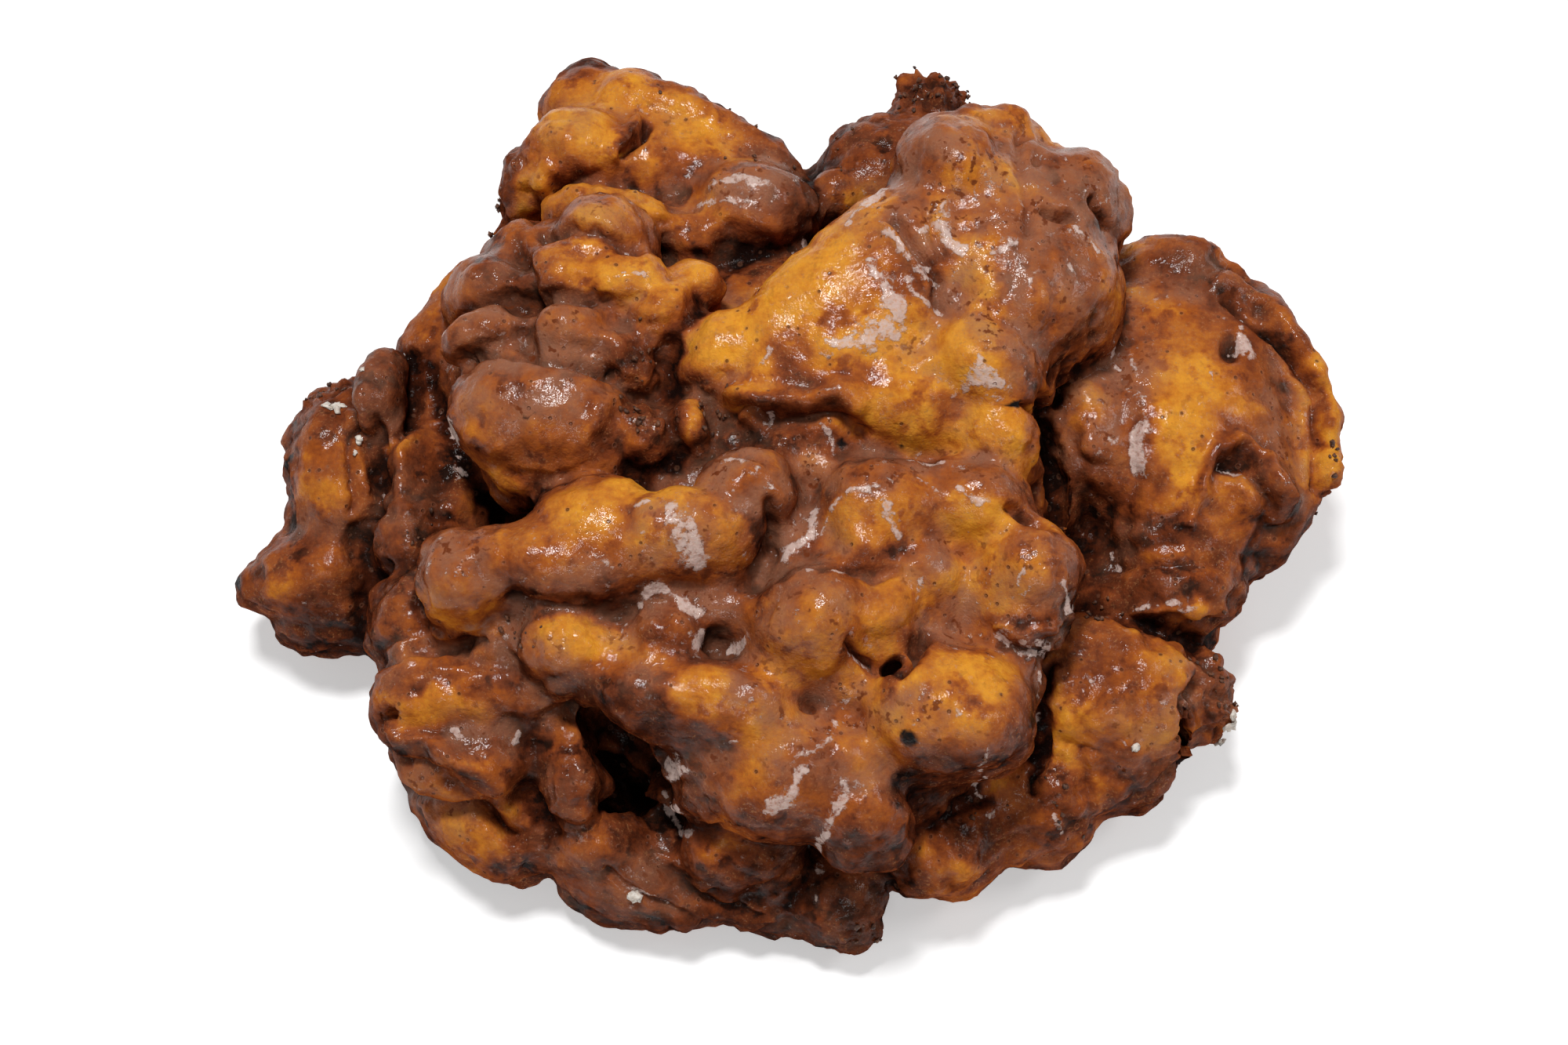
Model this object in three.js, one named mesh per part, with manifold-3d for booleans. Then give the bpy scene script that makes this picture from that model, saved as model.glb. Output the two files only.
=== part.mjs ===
import * as THREE from 'three';
import { mergeVertices } from 'three/addons/utils/BufferGeometryUtils.js';
import Module from 'manifold-3d';

// Apple fritter: one fried, glazed mass of yeast dough, lumps and rolls of it fused together.
// Millimetres, +Z up. It rests on z = 0. The crown of golden slabs stands on a ring of lower buns.

const REACH = new THREE.Vector3(118, 100, 90); // a shell outside everything, where the search starts
const FACET_ROWS = 24; // rows of facets along one edge of the starting ball
const CROWN_SHARE = 0.66; // under 1 draws the ball's facets up to the crown, where the relief is finest
const EASING = 16; // rounds in which the facets even out over the crust
const STEP = 0.8; // step of the search from the shell inwards
const FILLET = 0.7; // softness of the seam where two lumps meet

const RING_MID = 20; // height of the widest part of the ring buns
const CROWN_MID = 46; // height of the widest part of the crown lumps
const FOOT_MID = 10; // height of the widest part of the low pieces round the foot
const CORE_DEPTH = 45; // how far under the rest the lines of search to the top start
const KEEL = 4; // dough below the rest that is trimmed off

const RIM_TURN = 96; // angle from the top of the ball that lands on the widest part of the ring
const FOOT_TURN = 122; // angle from the top of the ball that lands on the rest

const WAVE_LENGTH = 13; // length scale of the slow unevenness of the dough
const WAVE_DEPTH = 1.1; // how far that unevenness pushes the crust

/** Slow sine unevenness shared by every lump, so that neighbours still meet. */
function uneven(point) {
  const x = point.x / WAVE_LENGTH;
  const y = point.y / WAVE_LENGTH;
  const z = point.z / WAVE_LENGTH;
  const push = new THREE.Vector3(
    Math.sin(1.3 * y + 0.7 * z + 0.4) + 0.6 * Math.sin(2.3 * z - 1.1 * y + 1.7 * x + 2.1),
    Math.sin(1.1 * z + 0.9 * x + 1.9) + 0.6 * Math.sin(2.1 * x - 1.3 * z + 1.6 * y + 0.3),
    Math.sin(1.2 * x + 0.8 * y + 3.1) + 0.6 * Math.sin(2.2 * y - 1.2 * x + 1.8 * z + 1.2),
  );
  return point.addScaledVector(push, WAVE_DEPTH);
}

/** Lump: centre, half sizes, turn about Z and lean about X in degrees, squareness of its section. */
function knob(x, y, z, rx, ry, rz, { turn = 0, lean = 0, square = 2 } = {}) {
  const centre = new THREE.Vector3(x, y, z);
  const half = new THREE.Vector3(rx, ry, rz);
  const back = new THREE.Quaternion().setFromEuler(
    new THREE.Euler(THREE.MathUtils.degToRad(lean), 0, THREE.MathUtils.degToRad(turn), 'ZXY'),
  ).invert();
  const p = new THREE.Vector3();
  return {
    centre,
    reach: 1.25 * Math.max(rx, ry, rz),
    /** Distance from the crust of the lump, negative inside. */
    gap(point) {
      p.subVectors(point, centre).applyQuaternion(back).divide(half);
      p.set(Math.abs(p.x), Math.abs(p.y), Math.abs(p.z));
      const norm = (p.x ** square + p.y ** square + p.z ** square) ** (1 / square);
      if (norm < 1e-6) return -Math.min(rx, ry, rz);
      p.divideScalar(norm);
      p.set(p.x ** (square - 1), p.y ** (square - 1), p.z ** (square - 1)).divide(half);
      return (norm - 1) / p.length();
    },
  };
}

/** Roll of dough between two ends, `bow` mm to its left and `lift` mm up at mid length. */
function roll(from, to, width, height, { bow = 0, lift = 0 } = {}) {
  const start = new THREE.Vector3(...from);
  const end = new THREE.Vector3(...to);
  const centre = start.clone().add(end).multiplyScalar(0.5);
  const along = end.clone().sub(start);
  const half = along.length() / 2;
  along.normalize();
  const side = new THREE.Vector3(0, 0, 1).cross(along).normalize();
  const up = along.clone().cross(side);
  const p = new THREE.Vector3();
  return {
    centre,
    reach: half + Math.max(width, height) + Math.abs(bow) + Math.abs(lift),
    /** Distance from the crust of the roll, negative inside. */
    gap(point) {
      p.subVectors(point, centre);
      const t = p.dot(along) / half;
      const arch = 1 - t * t;
      const a = (p.dot(side) - bow * arch) / width;
      const b = (p.dot(up) - lift * arch) / height;
      const slopeT = (4 * t ** 3 + (4 * a * bow * t) / width + (4 * b * lift * t) / height) / half;
      const slope = Math.hypot(slopeT, (2 * a) / width, (2 * b) / height);
      return (t ** 4 + a * a + b * b - 1) / Math.max(slope, 1e-3);
    },
  };
}

/** Solid heart of the fritter, under the crown and out to the ring. */
function heart() {
  return [
    knob(0, -1, FOOT_MID, 70, 58, 15, { square: 2.4 }),
    knob(0, 0, 25, 52, 44, 22),
    knob(8, -2, 32, 34, 30, 18),
    knob(-24, -48, 8, 22, 17, 14),
    knob(-64, -8, FOOT_MID, 16, 28, 14),
    knob(62, -16, FOOT_MID, 20, 28, 15),
    knob(0, 50, 12, 42, 16, 15),
    knob(-36, 56, 13, 16, 13, 16),
    knob(2, -36, 26, 42, 30, 18),
  ];
}

/** Big bun on the right, with a rolled rim along its outer edge and a small lip on its top. */
function rightBun() {
  return [
    knob(70, 12, RING_MID, 23, 32, 20, { turn: 4, square: 2.2 }),
    roll([82, 43, 22], [80, -20, 18], 4.6, 9, { bow: 12.5, lift: 3 }),
    knob(72, 38, RING_MID + 1, 12, 9, 14),
    knob(81, -5, 32, 7, 7, 8),
    knob(70, -19, 18, 13, 12, 14, { square: 2.3 }),
    roll([59, 32, 25], [54, -8, 26], 8, 13, { bow: -3 }),
    roll([67, 34, 27], [74, -2, 29], 8, 11, { bow: 2 }),
    knob(62, -24, 15, 9, 9, 12),
  ];
}

/** Broad golden slab of the crown and the brown lobes joined to its back and right. */
function goldenSlab() {
  return [
    knob(14, 20, CROWN_MID + 1, 26, 15, 16, { turn: 40, square: 2.5 }),
    knob(12, 5, 44, 24, 12, 15, { turn: -4, square: 2.4 }),
    knob(-8, 12, CROWN_MID, 11, 9, 12),
    knob(34, 8, CROWN_MID + 1, 12, 9, 14, { turn: -20, square: 2.3 }),
    knob(38, -2, 42, 9, 8, 14, { square: 2.4 }),
    roll([-8, 1, 50], [12, 3, 51], 4, 7, { bow: -1 }),
    knob(39, 30, CROWN_MID - 1, 18, 22, 17.5, { turn: -12, square: 2.4 }),
    knob(28, 44, CROWN_MID + 1, 10.5, 12, 17.5),
    knob(37, 53, 42, 9.5, 7, 15),
    knob(50, 41, 43, 10, 11.5, 18),
    knob(49, 25, 41, 11, 12, 18, { square: 2.3 }),
  ];
}

/** Bun at the back with its crumbly top end. */
function backBun() {
  return [
    knob(22, 60, 18, 18, 14, 16, { square: 2.3 }),
    knob(9, 54, RING_MID, 7, 7, 14),
    knob(28, 75, 24, 7.5, 6, 8),
    knob(41, 63, RING_MID, 7, 9, 14),
  ];
}

/** Golden slab at the back left with a brown end, a torn corner and a dark glossy lump. */
function backLeft() {
  return [
    knob(-37, 72, 25, 10, 9.5, 12),
    knob(-28, 69, 29, 9, 9, 11),
    roll([-42, 56, 28], [-4, 51, 26], 11, 14, { bow: 4 }),
    roll([-27, 73, 32], [2, 56, 27], 6, 9),
    knob(-37, 59, 35, 9, 8, 9, { square: 2.4 }),
    knob(-48, 53, 27, 6.5, 8, 11),
    knob(-7, 50, 31, 14, 8.5, 14, { turn: -5 }),
    knob(2, 50, 22, 7, 7, 13),
  ];
}

/** Cluster of small knobs on the left of the crown over one large smooth lobe. */
function leftCluster() {
  const knobs = [
    knob(-38, 14, 26, 24, 27, 20),
    knob(-31, 34, CROWN_MID, 10.5, 9, 13),
    knob(-38, 26, CROWN_MID + 2, 7.5, 7.5, 11),
    knob(-27, 25, CROWN_MID + 3, 9, 6.5, 10, { turn: -10 }),
    knob(-20, 19, CROWN_MID + 2, 6.5, 6.5, 10),
    knob(-15, 26, CROWN_MID + 1, 5, 4, 7),
    knob(-50, 24, 42, 9, 8.5, 13),
    knob(-45, 32, 39, 9, 8, 13),
    knob(-50, 14, CROWN_MID + 4, 8, 5, 7.5, { turn: 20 }),
    knob(-36, 15, CROWN_MID + 5, 8, 6, 8),
    knob(-27, 12, CROWN_MID + 1, 6.5, 6, 9),
  ];
  const lobe = [
    knob(-41, 1, CROWN_MID + 1, 15.5, 9.5, 13, { square: 2.3 }),
    roll([-54, -2, 42], [-26, -4, 42], 6, 10, { bow: -5 }),
    knob(-25, -1, 44, 5.5, 5.5, 10),
  ];
  const crevice = [
    knob(-19, 6, 39, 7, 10, 10),
    knob(-16, 1, 45, 3.8, 5.5, 8),
    knob(-20, -10, 36, 11, 8, 10),
  ];
  return [...knobs, ...lobe, ...crevice];
}

/** Lumps down the left side: a slope, a dark oval, a folded plate and a pointed end. */
function leftSide() {
  return [
    roll([-49, 40, 24], [-65, 14, 22], 10, 14),
    knob(-70, 15, 32, 5.5, 9.5, 7, { turn: -20 }),
    knob(-79, 2, 17, 11.5, 17, 17, { square: 2.3 }),
    knob(-76, 12, RING_MID, 9, 7, 12, { square: 2.4 }),
    roll([-77, 7, 27], [-77, -13, 26], 5.5, 8),
    roll([-67, 10, 28], [-65, -20, 24], 5.5, 10),
    knob(-66, -13, 32, 5, 6, 6),
    knob(-60, -2, RING_MID, 9, 20, 15),
    roll([-72, -15, 18], [-94, -18, 18], 8, 11),
    knob(-90, -18, 18, 8, 5, 8, { turn: 10 }),
    knob(-80, -24, 11, 12, 6, 10, { square: 2.3 }),
  ];
}

/** Long ridge across the front of the crown. */
function crownRidge() {
  return [
    roll([-55, -26, CROWN_MID], [-6, -22, CROWN_MID], 8.4, 13),
    knob(-51, -27, 45, 7.5, 8.5, 12, { square: 2.3 }),
    knob(-33, -19, CROWN_MID + 2, 11, 8, 12, { square: 2.3 }),
    knob(-18, -22, CROWN_MID + 4, 13, 7.5, 11, { square: 2.4 }),
    knob(-7, -14, CROWN_MID + 3, 8.5, 8, 10),
    knob(-46, -35, 35, 8, 7, 10),
  ];
}

/** Rounded lumps at the front right of the crown. */
function crownLumps() {
  return [
    knob(16, -17, CROWN_MID + 2, 12, 8.5, 11, { square: 2.3 }),
    knob(13, -24, CROWN_MID + 4, 6, 5.5, 7),
    knob(30, -15, CROWN_MID, 11, 8, 12, { square: 2.3 }),
    knob(40, -27, 43, 9.5, 10.5, 14),
    knob(40, -35, CROWN_MID, 7.5, 5.5, 8),
    knob(5, -36, CROWN_MID, 11.5, 10.5, 13),
    knob(17, -36, CROWN_MID + 1, 6.5, 6, 8),
    knob(22, -29, 44, 10, 6, 10),
    knob(28, -50, 40, 13.5, 10.5, 15, { square: 2.5 }),
    knob(37, -42, 36, 8, 7, 12),
  ];
}

/** Golden saddle and ridge that run down to the knob at the very front. */
function frontTongue() {
  return [
    knob(-33, -38, 40, 12, 8.5, 13),
    knob(-19, -36, CROWN_MID, 6.5, 5.5, 8),
    roll([-31, -42, 42], [5, -54, 41], 7.5, 12, { bow: 1 }),
    knob(0, -57, 35, 14, 11, 15, { square: 2.2 }),
    knob(-9, -56, 29, 9.5, 9, 17),
    knob(9, -57, 37, 9, 9, 11),
    knob(12, -65, 34, 8.8, 8, 11),
  ];
}

/** Front left corner: a spout-shaped lobe over a fan of folds and a low bun. */
function frontLeft() {
  return [
    knob(-59, -29, 23, 12, 11, 15, { square: 2.3 }),
    roll([-69, -32, 28], [-52, -33, 31], 4, 7, { bow: -1 }),
    roll([-70, -44, 28], [-36, -43, 31], 8, 11),
    roll([-64, -48, 24], [-43, -55, 24], 7, 11, { bow: -2 }),
    knob(-51, -54, 13, 17, 11.5, 14, { turn: -40, square: 2.3 }),
    knob(-64, -46, 16, 6, 7, 12),
    knob(-37, -57, 26, 5, 9, 8, { lean: -20 }),
    knob(-36, -51, 24, 7, 8, 10),
  ];
}

/** Dark low pieces along the front of the foot. */
function frontFoot() {
  return [
    knob(-22, -69, 8, 18, 9.5, 11, { turn: -10, square: 2.3 }),
    knob(-33, -66, 14, 8, 7, 9),
    knob(-2, -73, 7, 13, 7.5, 9),
    knob(-8, -66, 17, 11.5, 8, 10, { square: 2.2 }),
    knob(8, -71, 8, 9, 9, 9, { square: 2.4 }),
    knob(12, -74, 7, 6, 5.5, 6, { square: 2.4 }),
    knob(19, -62, 13, 9, 7, 11),
  ];
}

/** Front right corner bun with a crumbly outer end. */
function frontRight() {
  return [
    knob(56, -42, 19, 15, 14, 16, { square: 2.4 }),
    knob(52, -36, 24, 8, 7, 12),
    knob(67, -38, 19, 6, 7.5, 13),
    knob(73, -39, 15, 6, 8.5, 10),
    knob(56, -51, 14, 12, 9.5, 12, { square: 2.3 }),
    knob(42, -57, 13, 14, 9.5, 13),
    knob(27, -65, 13, 11, 8.5, 12),
  ];
}

/** Clefts and small hollows between the lumps. */
function clefts() {
  return [
    roll([19, 46, 66], [29, 17, 65], 2, 5, { bow: -1 }),
    roll([43, 52, 62], [41, 42, 62], 1.6, 5),
    roll([23, -38, 54], [18, -45, 50], 2, 9),
    roll([83, 37, 36], [91, 2, 38], 1.5, 5, { bow: 4 }),
    roll([-31, -46, 44], [-26, -56, 36], 4, 12),
    knob(4, -47, 54, 3, 2.5, 7),
    knob(-63, -47, 36, 3, 2.5, 5),
    knob(82, 25, 40, 3, 4, 5),
    knob(67, -48, RING_MID, 2.2, 4, 12),
  ];
}

/** Every lump of the fritter. */
function lumps() {
  return [
    ...heart(),
    ...rightBun(),
    ...goldenSlab(),
    ...backBun(),
    ...backLeft(),
    ...leftCluster(),
    ...leftSide(),
    ...crownRidge(),
    ...crownLumps(),
    ...frontTongue(),
    ...frontLeft(),
    ...frontFoot(),
    ...frontRight(),
  ];
}

/** Distance of a point from the joined dough with its clefts cut, negative inside. */
function doughGap(point, dough, cuts) {
  let soft = 0;
  for (const lump of dough) {
    if (point.distanceTo(lump.centre) > lump.reach + 4 * FILLET) continue;
    soft += Math.exp(-lump.gap(point) / FILLET);
  }
  let gap = soft > 0 ? -FILLET * Math.log(soft) : STEP;
  for (const cut of cuts) {
    if (point.distanceTo(cut.centre) > cut.reach + 1) continue;
    gap = Math.max(gap, -cut.gap(point));
  }
  return gap;
}

/** Line of search for a point of the ball: where it starts on the axis and which way it runs. */
function searchLine(ballPoint) {
  const evenTurn = Math.acos(THREE.MathUtils.clamp(ballPoint.z, -1, 1));
  const turn = THREE.MathUtils.radToDeg(2 * Math.atan(CROWN_SHARE * Math.tan(evenTurn / 2)));
  const round = new THREE.Vector2(ballPoint.x * REACH.x, ballPoint.y * REACH.y).normalize();
  const start = new THREE.Vector3();
  const run = new THREE.Vector3();
  if (turn >= RIM_TURN) {
    const down = Math.min(1, (turn - RIM_TURN) / (FOOT_TURN - RIM_TURN));
    start.z = RING_MID * (1 - down) - KEEL * down;
    run.set(round.x, round.y, 0);
    return { start, run, close: turn > FOOT_TURN ? (180 - turn) / (180 - FOOT_TURN) : 1 };
  }
  const edge = Math.sin(THREE.MathUtils.degToRad(RIM_TURN / 2));
  const share = Math.sin(THREE.MathUtils.degToRad(turn / 2)) / edge;
  const rise = (1 - share) * (Math.PI / 2);
  start.z = RING_MID - (CORE_DEPTH + RING_MID) * Math.sin(rise);
  run.set(round.x * Math.cos(rise), round.y * Math.cos(rise), Math.sin(rise));
  return { start, run, close: 1 };
}

/** Point of the crust that a line of search meets first, coming inwards from the shell. */
function crustPoint(ballPoint, dough, cuts) {
  const { start, run, close } = searchLine(ballPoint);
  const point = new THREE.Vector3();
  const at = (r) => point.copy(start).addScaledVector(run, r);
  let outside = 1.15 * REACH.x;
  while (outside > STEP && doughGap(at(outside), dough, cuts) > 0) outside -= STEP;
  let inside = outside;
  outside += STEP;
  for (let i = 0; i < 8; i += 1) {
    const middle = (inside + outside) / 2;
    if (doughGap(at(middle), dough, cuts) > 0) outside = middle;
    else inside = middle;
  }
  return at(inside * close);
}

/** Brings a point back onto the crust along the steepest way. */
function toCrust(point, dough, cuts) {
  const reach = 0.2;
  const beside = new THREE.Vector3();
  for (let i = 0; i < 3; i += 1) {
    const gap = doughGap(point, dough, cuts);
    const slope = new THREE.Vector3(
      doughGap(beside.copy(point).setX(point.x + reach), dough, cuts) - gap,
      doughGap(beside.copy(point).setY(point.y + reach), dough, cuts) - gap,
      doughGap(beside.copy(point).setZ(point.z + reach), dough, cuts) - gap,
    ).divideScalar(reach);
    if (slope.lengthSq() < 0.04) return;
    const back = THREE.MathUtils.clamp(gap, -1.5, 1.5) / slope.lengthSq();
    point.addScaledVector(slope, -back);
  }
}

/** Evens the facets out over the crust: each corner moves towards the middle of its neighbours. */
function ease(points, index, dough, cuts) {
  for (let round = 0; round < EASING; round += 1) {
    const sums = points.map(() => new THREE.Vector3());
    const counts = new Uint16Array(points.length);
    for (let i = 0; i < index.length; i += 3) {
      for (let k = 0; k < 3; k += 1) {
        const here = index[i + k];
        const next = index[i + ((k + 1) % 3)];
        sums[here].add(points[next]);
        counts[here] += 1;
      }
    }
    points.forEach((point, i) => {
      if (point.z < 0) return;
      point.lerp(sums[i].divideScalar(counts[i]), 0.5);
      toCrust(point, dough, cuts);
    });
  }
}

/** Closed solid of a geometry whose points have been placed. */
function solidOf(geometry) {
  return new wasm.Manifold(
    new wasm.Mesh({
      numProp: 3,
      vertProperties: new Float32Array(geometry.getAttribute('position').array),
      triVerts: new Uint32Array(geometry.getIndex().array),
    }),
  );
}

/** The dough: a ball whose every point is brought onto the crust of the joined lumps. */
function dough() {
  const all = lumps();
  const cuts = clefts();
  const ball = new THREE.IcosahedronGeometry(1, FACET_ROWS);
  ball.deleteAttribute('normal');
  ball.deleteAttribute('uv');
  const closed = mergeVertices(ball, 1e-4);
  const position = closed.getAttribute('position');
  const points = [];
  for (let i = 0; i < position.count; i += 1) {
    const ballPoint = new THREE.Vector3().fromBufferAttribute(position, i).normalize();
    points.push(crustPoint(ballPoint, all, cuts));
  }
  ease(points, closed.getIndex().array, all, cuts);
  points.forEach((point, i) => position.setXYZ(i, ...uneven(point).toArray()));
  return solidOf(closed).subtract(belowRest());
}

/** Block below z = 0 that leaves the underside flat. */
function belowRest() {
  const block = new THREE.BoxGeometry(3 * REACH.x, 3 * REACH.x, REACH.z);
  block.translate(0, 0, -REACH.z / 2);
  block.deleteAttribute('normal');
  block.deleteAttribute('uv');
  return solidOf(mergeVertices(block, 1e-4));
}

/** Mesh geometry of the finished dough, its box centred over the origin with the bottom at z = 0. */
function centred(solid) {
  const mesh = solid.getMesh();
  const geometry = new THREE.BufferGeometry();
  geometry.setAttribute('position', new THREE.BufferAttribute(mesh.vertProperties, 3));
  geometry.setIndex(new THREE.BufferAttribute(mesh.triVerts, 1));
  geometry.computeBoundingBox();
  const middle = geometry.boundingBox.getCenter(new THREE.Vector3());
  geometry.translate(-middle.x, -middle.y, -geometry.boundingBox.min.z);
  geometry.computeVertexNormals();
  return geometry;
}

const wasm = await Module();
wasm.setup();

const crust = new THREE.MeshStandardMaterial({ color: 0xa25b24, roughness: 0.45, metalness: 0 });

const group = new THREE.Group();
group.name = 'apple_fritter';

const fritter = new THREE.Mesh(centred(dough()), crust);
fritter.name = 'fritter';
group.add(fritter);

export default group;
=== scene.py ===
"""Apple fritter: one giant craggy pastry of fused dough lumps under a thin, cracked sugar glaze.

The dough is a table of knobs and rolls, each a surface of two parameters worked out with numpy.
They are fused into one closed skin, carved with clefts, given relief along the skin's normals,
and tinted by how long each place was in the hot oil, with painted shade in the clefts, creases
and low places and painted highlights in the dried glaze. Sizes in the tables are millimetres,
with X to the right, Y to the back and Z up from the table.
"""

import logging
import math
from abc import ABC, abstractmethod
from dataclasses import dataclass, field
from enum import Enum

import bpy
import numpy as np
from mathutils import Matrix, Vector


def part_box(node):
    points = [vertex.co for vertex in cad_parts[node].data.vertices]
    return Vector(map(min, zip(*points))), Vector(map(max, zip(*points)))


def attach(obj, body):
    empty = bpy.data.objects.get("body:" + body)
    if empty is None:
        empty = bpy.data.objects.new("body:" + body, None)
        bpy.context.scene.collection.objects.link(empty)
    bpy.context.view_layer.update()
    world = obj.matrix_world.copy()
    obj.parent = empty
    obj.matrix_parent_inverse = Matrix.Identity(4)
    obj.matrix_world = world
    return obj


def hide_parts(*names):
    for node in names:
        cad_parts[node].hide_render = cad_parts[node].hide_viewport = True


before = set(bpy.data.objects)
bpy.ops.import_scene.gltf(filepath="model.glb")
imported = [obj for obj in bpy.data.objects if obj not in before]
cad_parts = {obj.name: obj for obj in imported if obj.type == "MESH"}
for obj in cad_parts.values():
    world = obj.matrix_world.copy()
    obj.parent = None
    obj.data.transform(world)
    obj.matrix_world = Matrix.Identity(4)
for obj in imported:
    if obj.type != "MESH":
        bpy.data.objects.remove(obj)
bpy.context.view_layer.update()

log = logging.getLogger("apple_fritter")

MM = 0.001
FINE = 1e-9
Point = tuple[float, float, float]
Spot = tuple[float, float]
Span = tuple[float, float]
Rgba = tuple[float, float, float, float]


# ---------------------------------------------------------------- lumps of dough

class Lump(ABC):
    """One piece of dough, a closed surface of two parameters."""

    @abstractmethod
    def surface(self, step: float) -> np.ndarray:
        """Work out the lump's skin.

        Args:
            step: Distance between grid points, in millimetres.

        Returns:
            Grid of points, rows from pole to pole and columns around, in millimetres.
        """


def grid_size(reach: float, step: float) -> tuple[int, int]:
    """Rows and columns that put points about a step apart on a ball, within sensible limits.

    Args:
        reach: Largest half size of the lump the grid is for.
        step: Distance between grid points.

    Returns:
        Number of rows from pole to pole and of columns around.
    """
    fewest_rows, most_rows = 16, 130
    fewest_columns, most_columns = 24, 200
    rows = int(np.clip(math.pi * reach / step, fewest_rows, most_rows))
    columns = int(np.clip(2 * math.pi * reach / step, fewest_columns, most_columns))
    return rows, columns


def ball_angles(rows: int, columns: int) -> tuple[np.ndarray, np.ndarray]:
    """Angles of a grid on a ball: from pole to pole down the rows, once around along the columns.

    Args:
        rows: Number of rows with both poles.
        columns: Number of points around.

    Returns:
        Polar angles as a column and turning angles as a row.
    """
    polar = np.linspace(0, math.pi, rows)[:, None]
    around = np.linspace(0, 2 * math.pi, columns, endpoint=False)[None, :]
    return polar, around


def unit_ball(rows: int, columns: int) -> np.ndarray:
    """Points of a ball of radius 1: sine of polar times cosine and sine of around, cosine of polar.

    Args:
        rows: Number of rows with both poles.
        columns: Number of points around.

    Returns:
        Grid of points.
    """
    polar, around = ball_angles(rows, columns)
    level = np.cos(polar) + 0 * around
    return np.stack([np.sin(polar) * np.cos(around), np.sin(polar) * np.sin(around), level], -1)


@dataclass(frozen=True)
class Knob(Lump):
    """A rounded lump: a ball scaled to three half sizes, turned about up and leaned about X."""

    centre: Point
    radii: Point
    turn: float = 0.0
    lean: float = 0.0
    square: float = 2.0

    def surface(self, step: float) -> np.ndarray:
        """Each direction is divided by its own power norm, scaled, leaned, turned and moved.

        Args:
            step: Distance between grid points, in millimetres.

        Returns:
            Grid of points in millimetres.
        """
        ball = unit_ball(*grid_size(max(self.radii), step))
        ball /= (np.abs(ball) ** self.square).sum(-1, keepdims=True) ** (1 / self.square)
        lean = math.radians(self.lean)
        turn = math.radians(self.turn)
        leaned = np.array([
            [1, 0, 0],
            [0, math.cos(lean), -math.sin(lean)],
            [0, math.sin(lean), math.cos(lean)],
        ])
        turned = np.array([
            [math.cos(turn), -math.sin(turn), 0],
            [math.sin(turn), math.cos(turn), 0],
            [0, 0, 1],
        ])
        return ball * np.array(self.radii) @ (turned @ leaned).T + np.array(self.centre)


@dataclass(frozen=True)
class Roll(Lump):
    """A roll of dough: an oval section carried along a bowed line between two ends."""

    start: Point
    end: Point
    half_width: float
    half_height: float
    bow: float = 0.0
    lift: float = 0.0

    def surface(self, step: float) -> np.ndarray:
        """For t from -1 to 1 the line bends by bow and lift times 1 - t²; the section is sqrt(1 - t⁴).

        Args:
            step: Distance between grid points, in millimetres.

        Returns:
            Grid of points in millimetres.
        """
        start = np.array(self.start, float)
        end = np.array(self.end, float)
        length = np.linalg.norm(end - start)
        along = (end - start) / length
        side = np.cross([0.0, 0.0, 1.0], along)
        side /= np.linalg.norm(side)
        up = np.cross(along, side)
        polar, around = ball_angles(*grid_size(length / 2 + self.half_width, step))
        t = np.cos(polar) + 0 * around
        arch = (1 - t ** 2)[..., None]
        section = np.sqrt(np.clip(1 - t ** 4, 0, 1))
        line = (start + end) / 2 + t[..., None] * along * length / 2
        line = line + arch * (self.bow * side + self.lift * up)
        wide = (section * np.cos(around) * self.half_width)[..., None] * side
        high = (section * np.sin(around) * self.half_height)[..., None] * up
        return line + wide + high


# Solid heart of the fritter, under the crown and out to the ring.
HEART: tuple[Lump, ...] = (
    Knob((0, -1, 10), (70, 58, 15), square=2.4),
    Knob((0, 0, 25), (52, 44, 22)),
    Knob((8, -2, 32), (34, 30, 18)),
    Knob((-24, -48, 8), (22, 17, 14)),
    Knob((-64, -8, 10), (16, 28, 14)),
    Knob((62, -16, 10), (20, 28, 15)),
    Knob((0, 50, 12), (42, 16, 15)),
    Knob((-36, 56, 13), (16, 13, 16)),
    Knob((2, -36, 26), (42, 30, 18)),
)

# Big bun on the right, with a rolled rim along its outer edge and a small lip on its top.
RIGHT_BUN: tuple[Lump, ...] = (
    Knob((70, 12, 20), (23, 32, 20), turn=4, square=2.2),
    Roll((82, 43, 22), (80, -20, 18), 4.6, 9, bow=12.5, lift=3),
    Knob((72, 38, 21), (12, 9, 14)),
    Knob((81, -5, 32), (7, 7, 8)),
    Knob((70, -19, 18), (13, 12, 14), square=2.3),
    Roll((59, 32, 25), (54, -8, 26), 8, 13, bow=-3),
    Roll((67, 34, 27), (74, -2, 29), 8, 11, bow=2),
    Knob((62, -24, 15), (9, 9, 12)),
)

# Broad golden slab of the crown and the brown lobes joined to its back and right.
GOLDEN_SLAB: tuple[Lump, ...] = (
    Knob((14, 20, 47), (26, 15, 16), turn=40, square=2.5),
    Knob((12, 5, 44), (24, 12, 15), turn=-4, square=2.4),
    Knob((-8, 12, 46), (11, 9, 12)),
    Knob((34, 8, 47), (12, 9, 14), turn=-20, square=2.3),
    Knob((36, -3, 43), (7, 7.5, 13.5), square=3.0),
    Roll((-9, 2, 50), (12, 2, 51), 4, 7, bow=-1),
    Knob((3, -5, 43), (11, 5, 10)),
    Knob((39, 30, 45), (18, 22, 17.5), turn=-12, square=2.4),
    Knob((28, 44, 47), (10.5, 12, 17.5)),
    Knob((37, 53, 42), (9.5, 7, 15)),
    Knob((50, 41, 43), (10, 11.5, 18)),
    Knob((49, 25, 41), (11, 12, 18), square=2.3),
)

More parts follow.
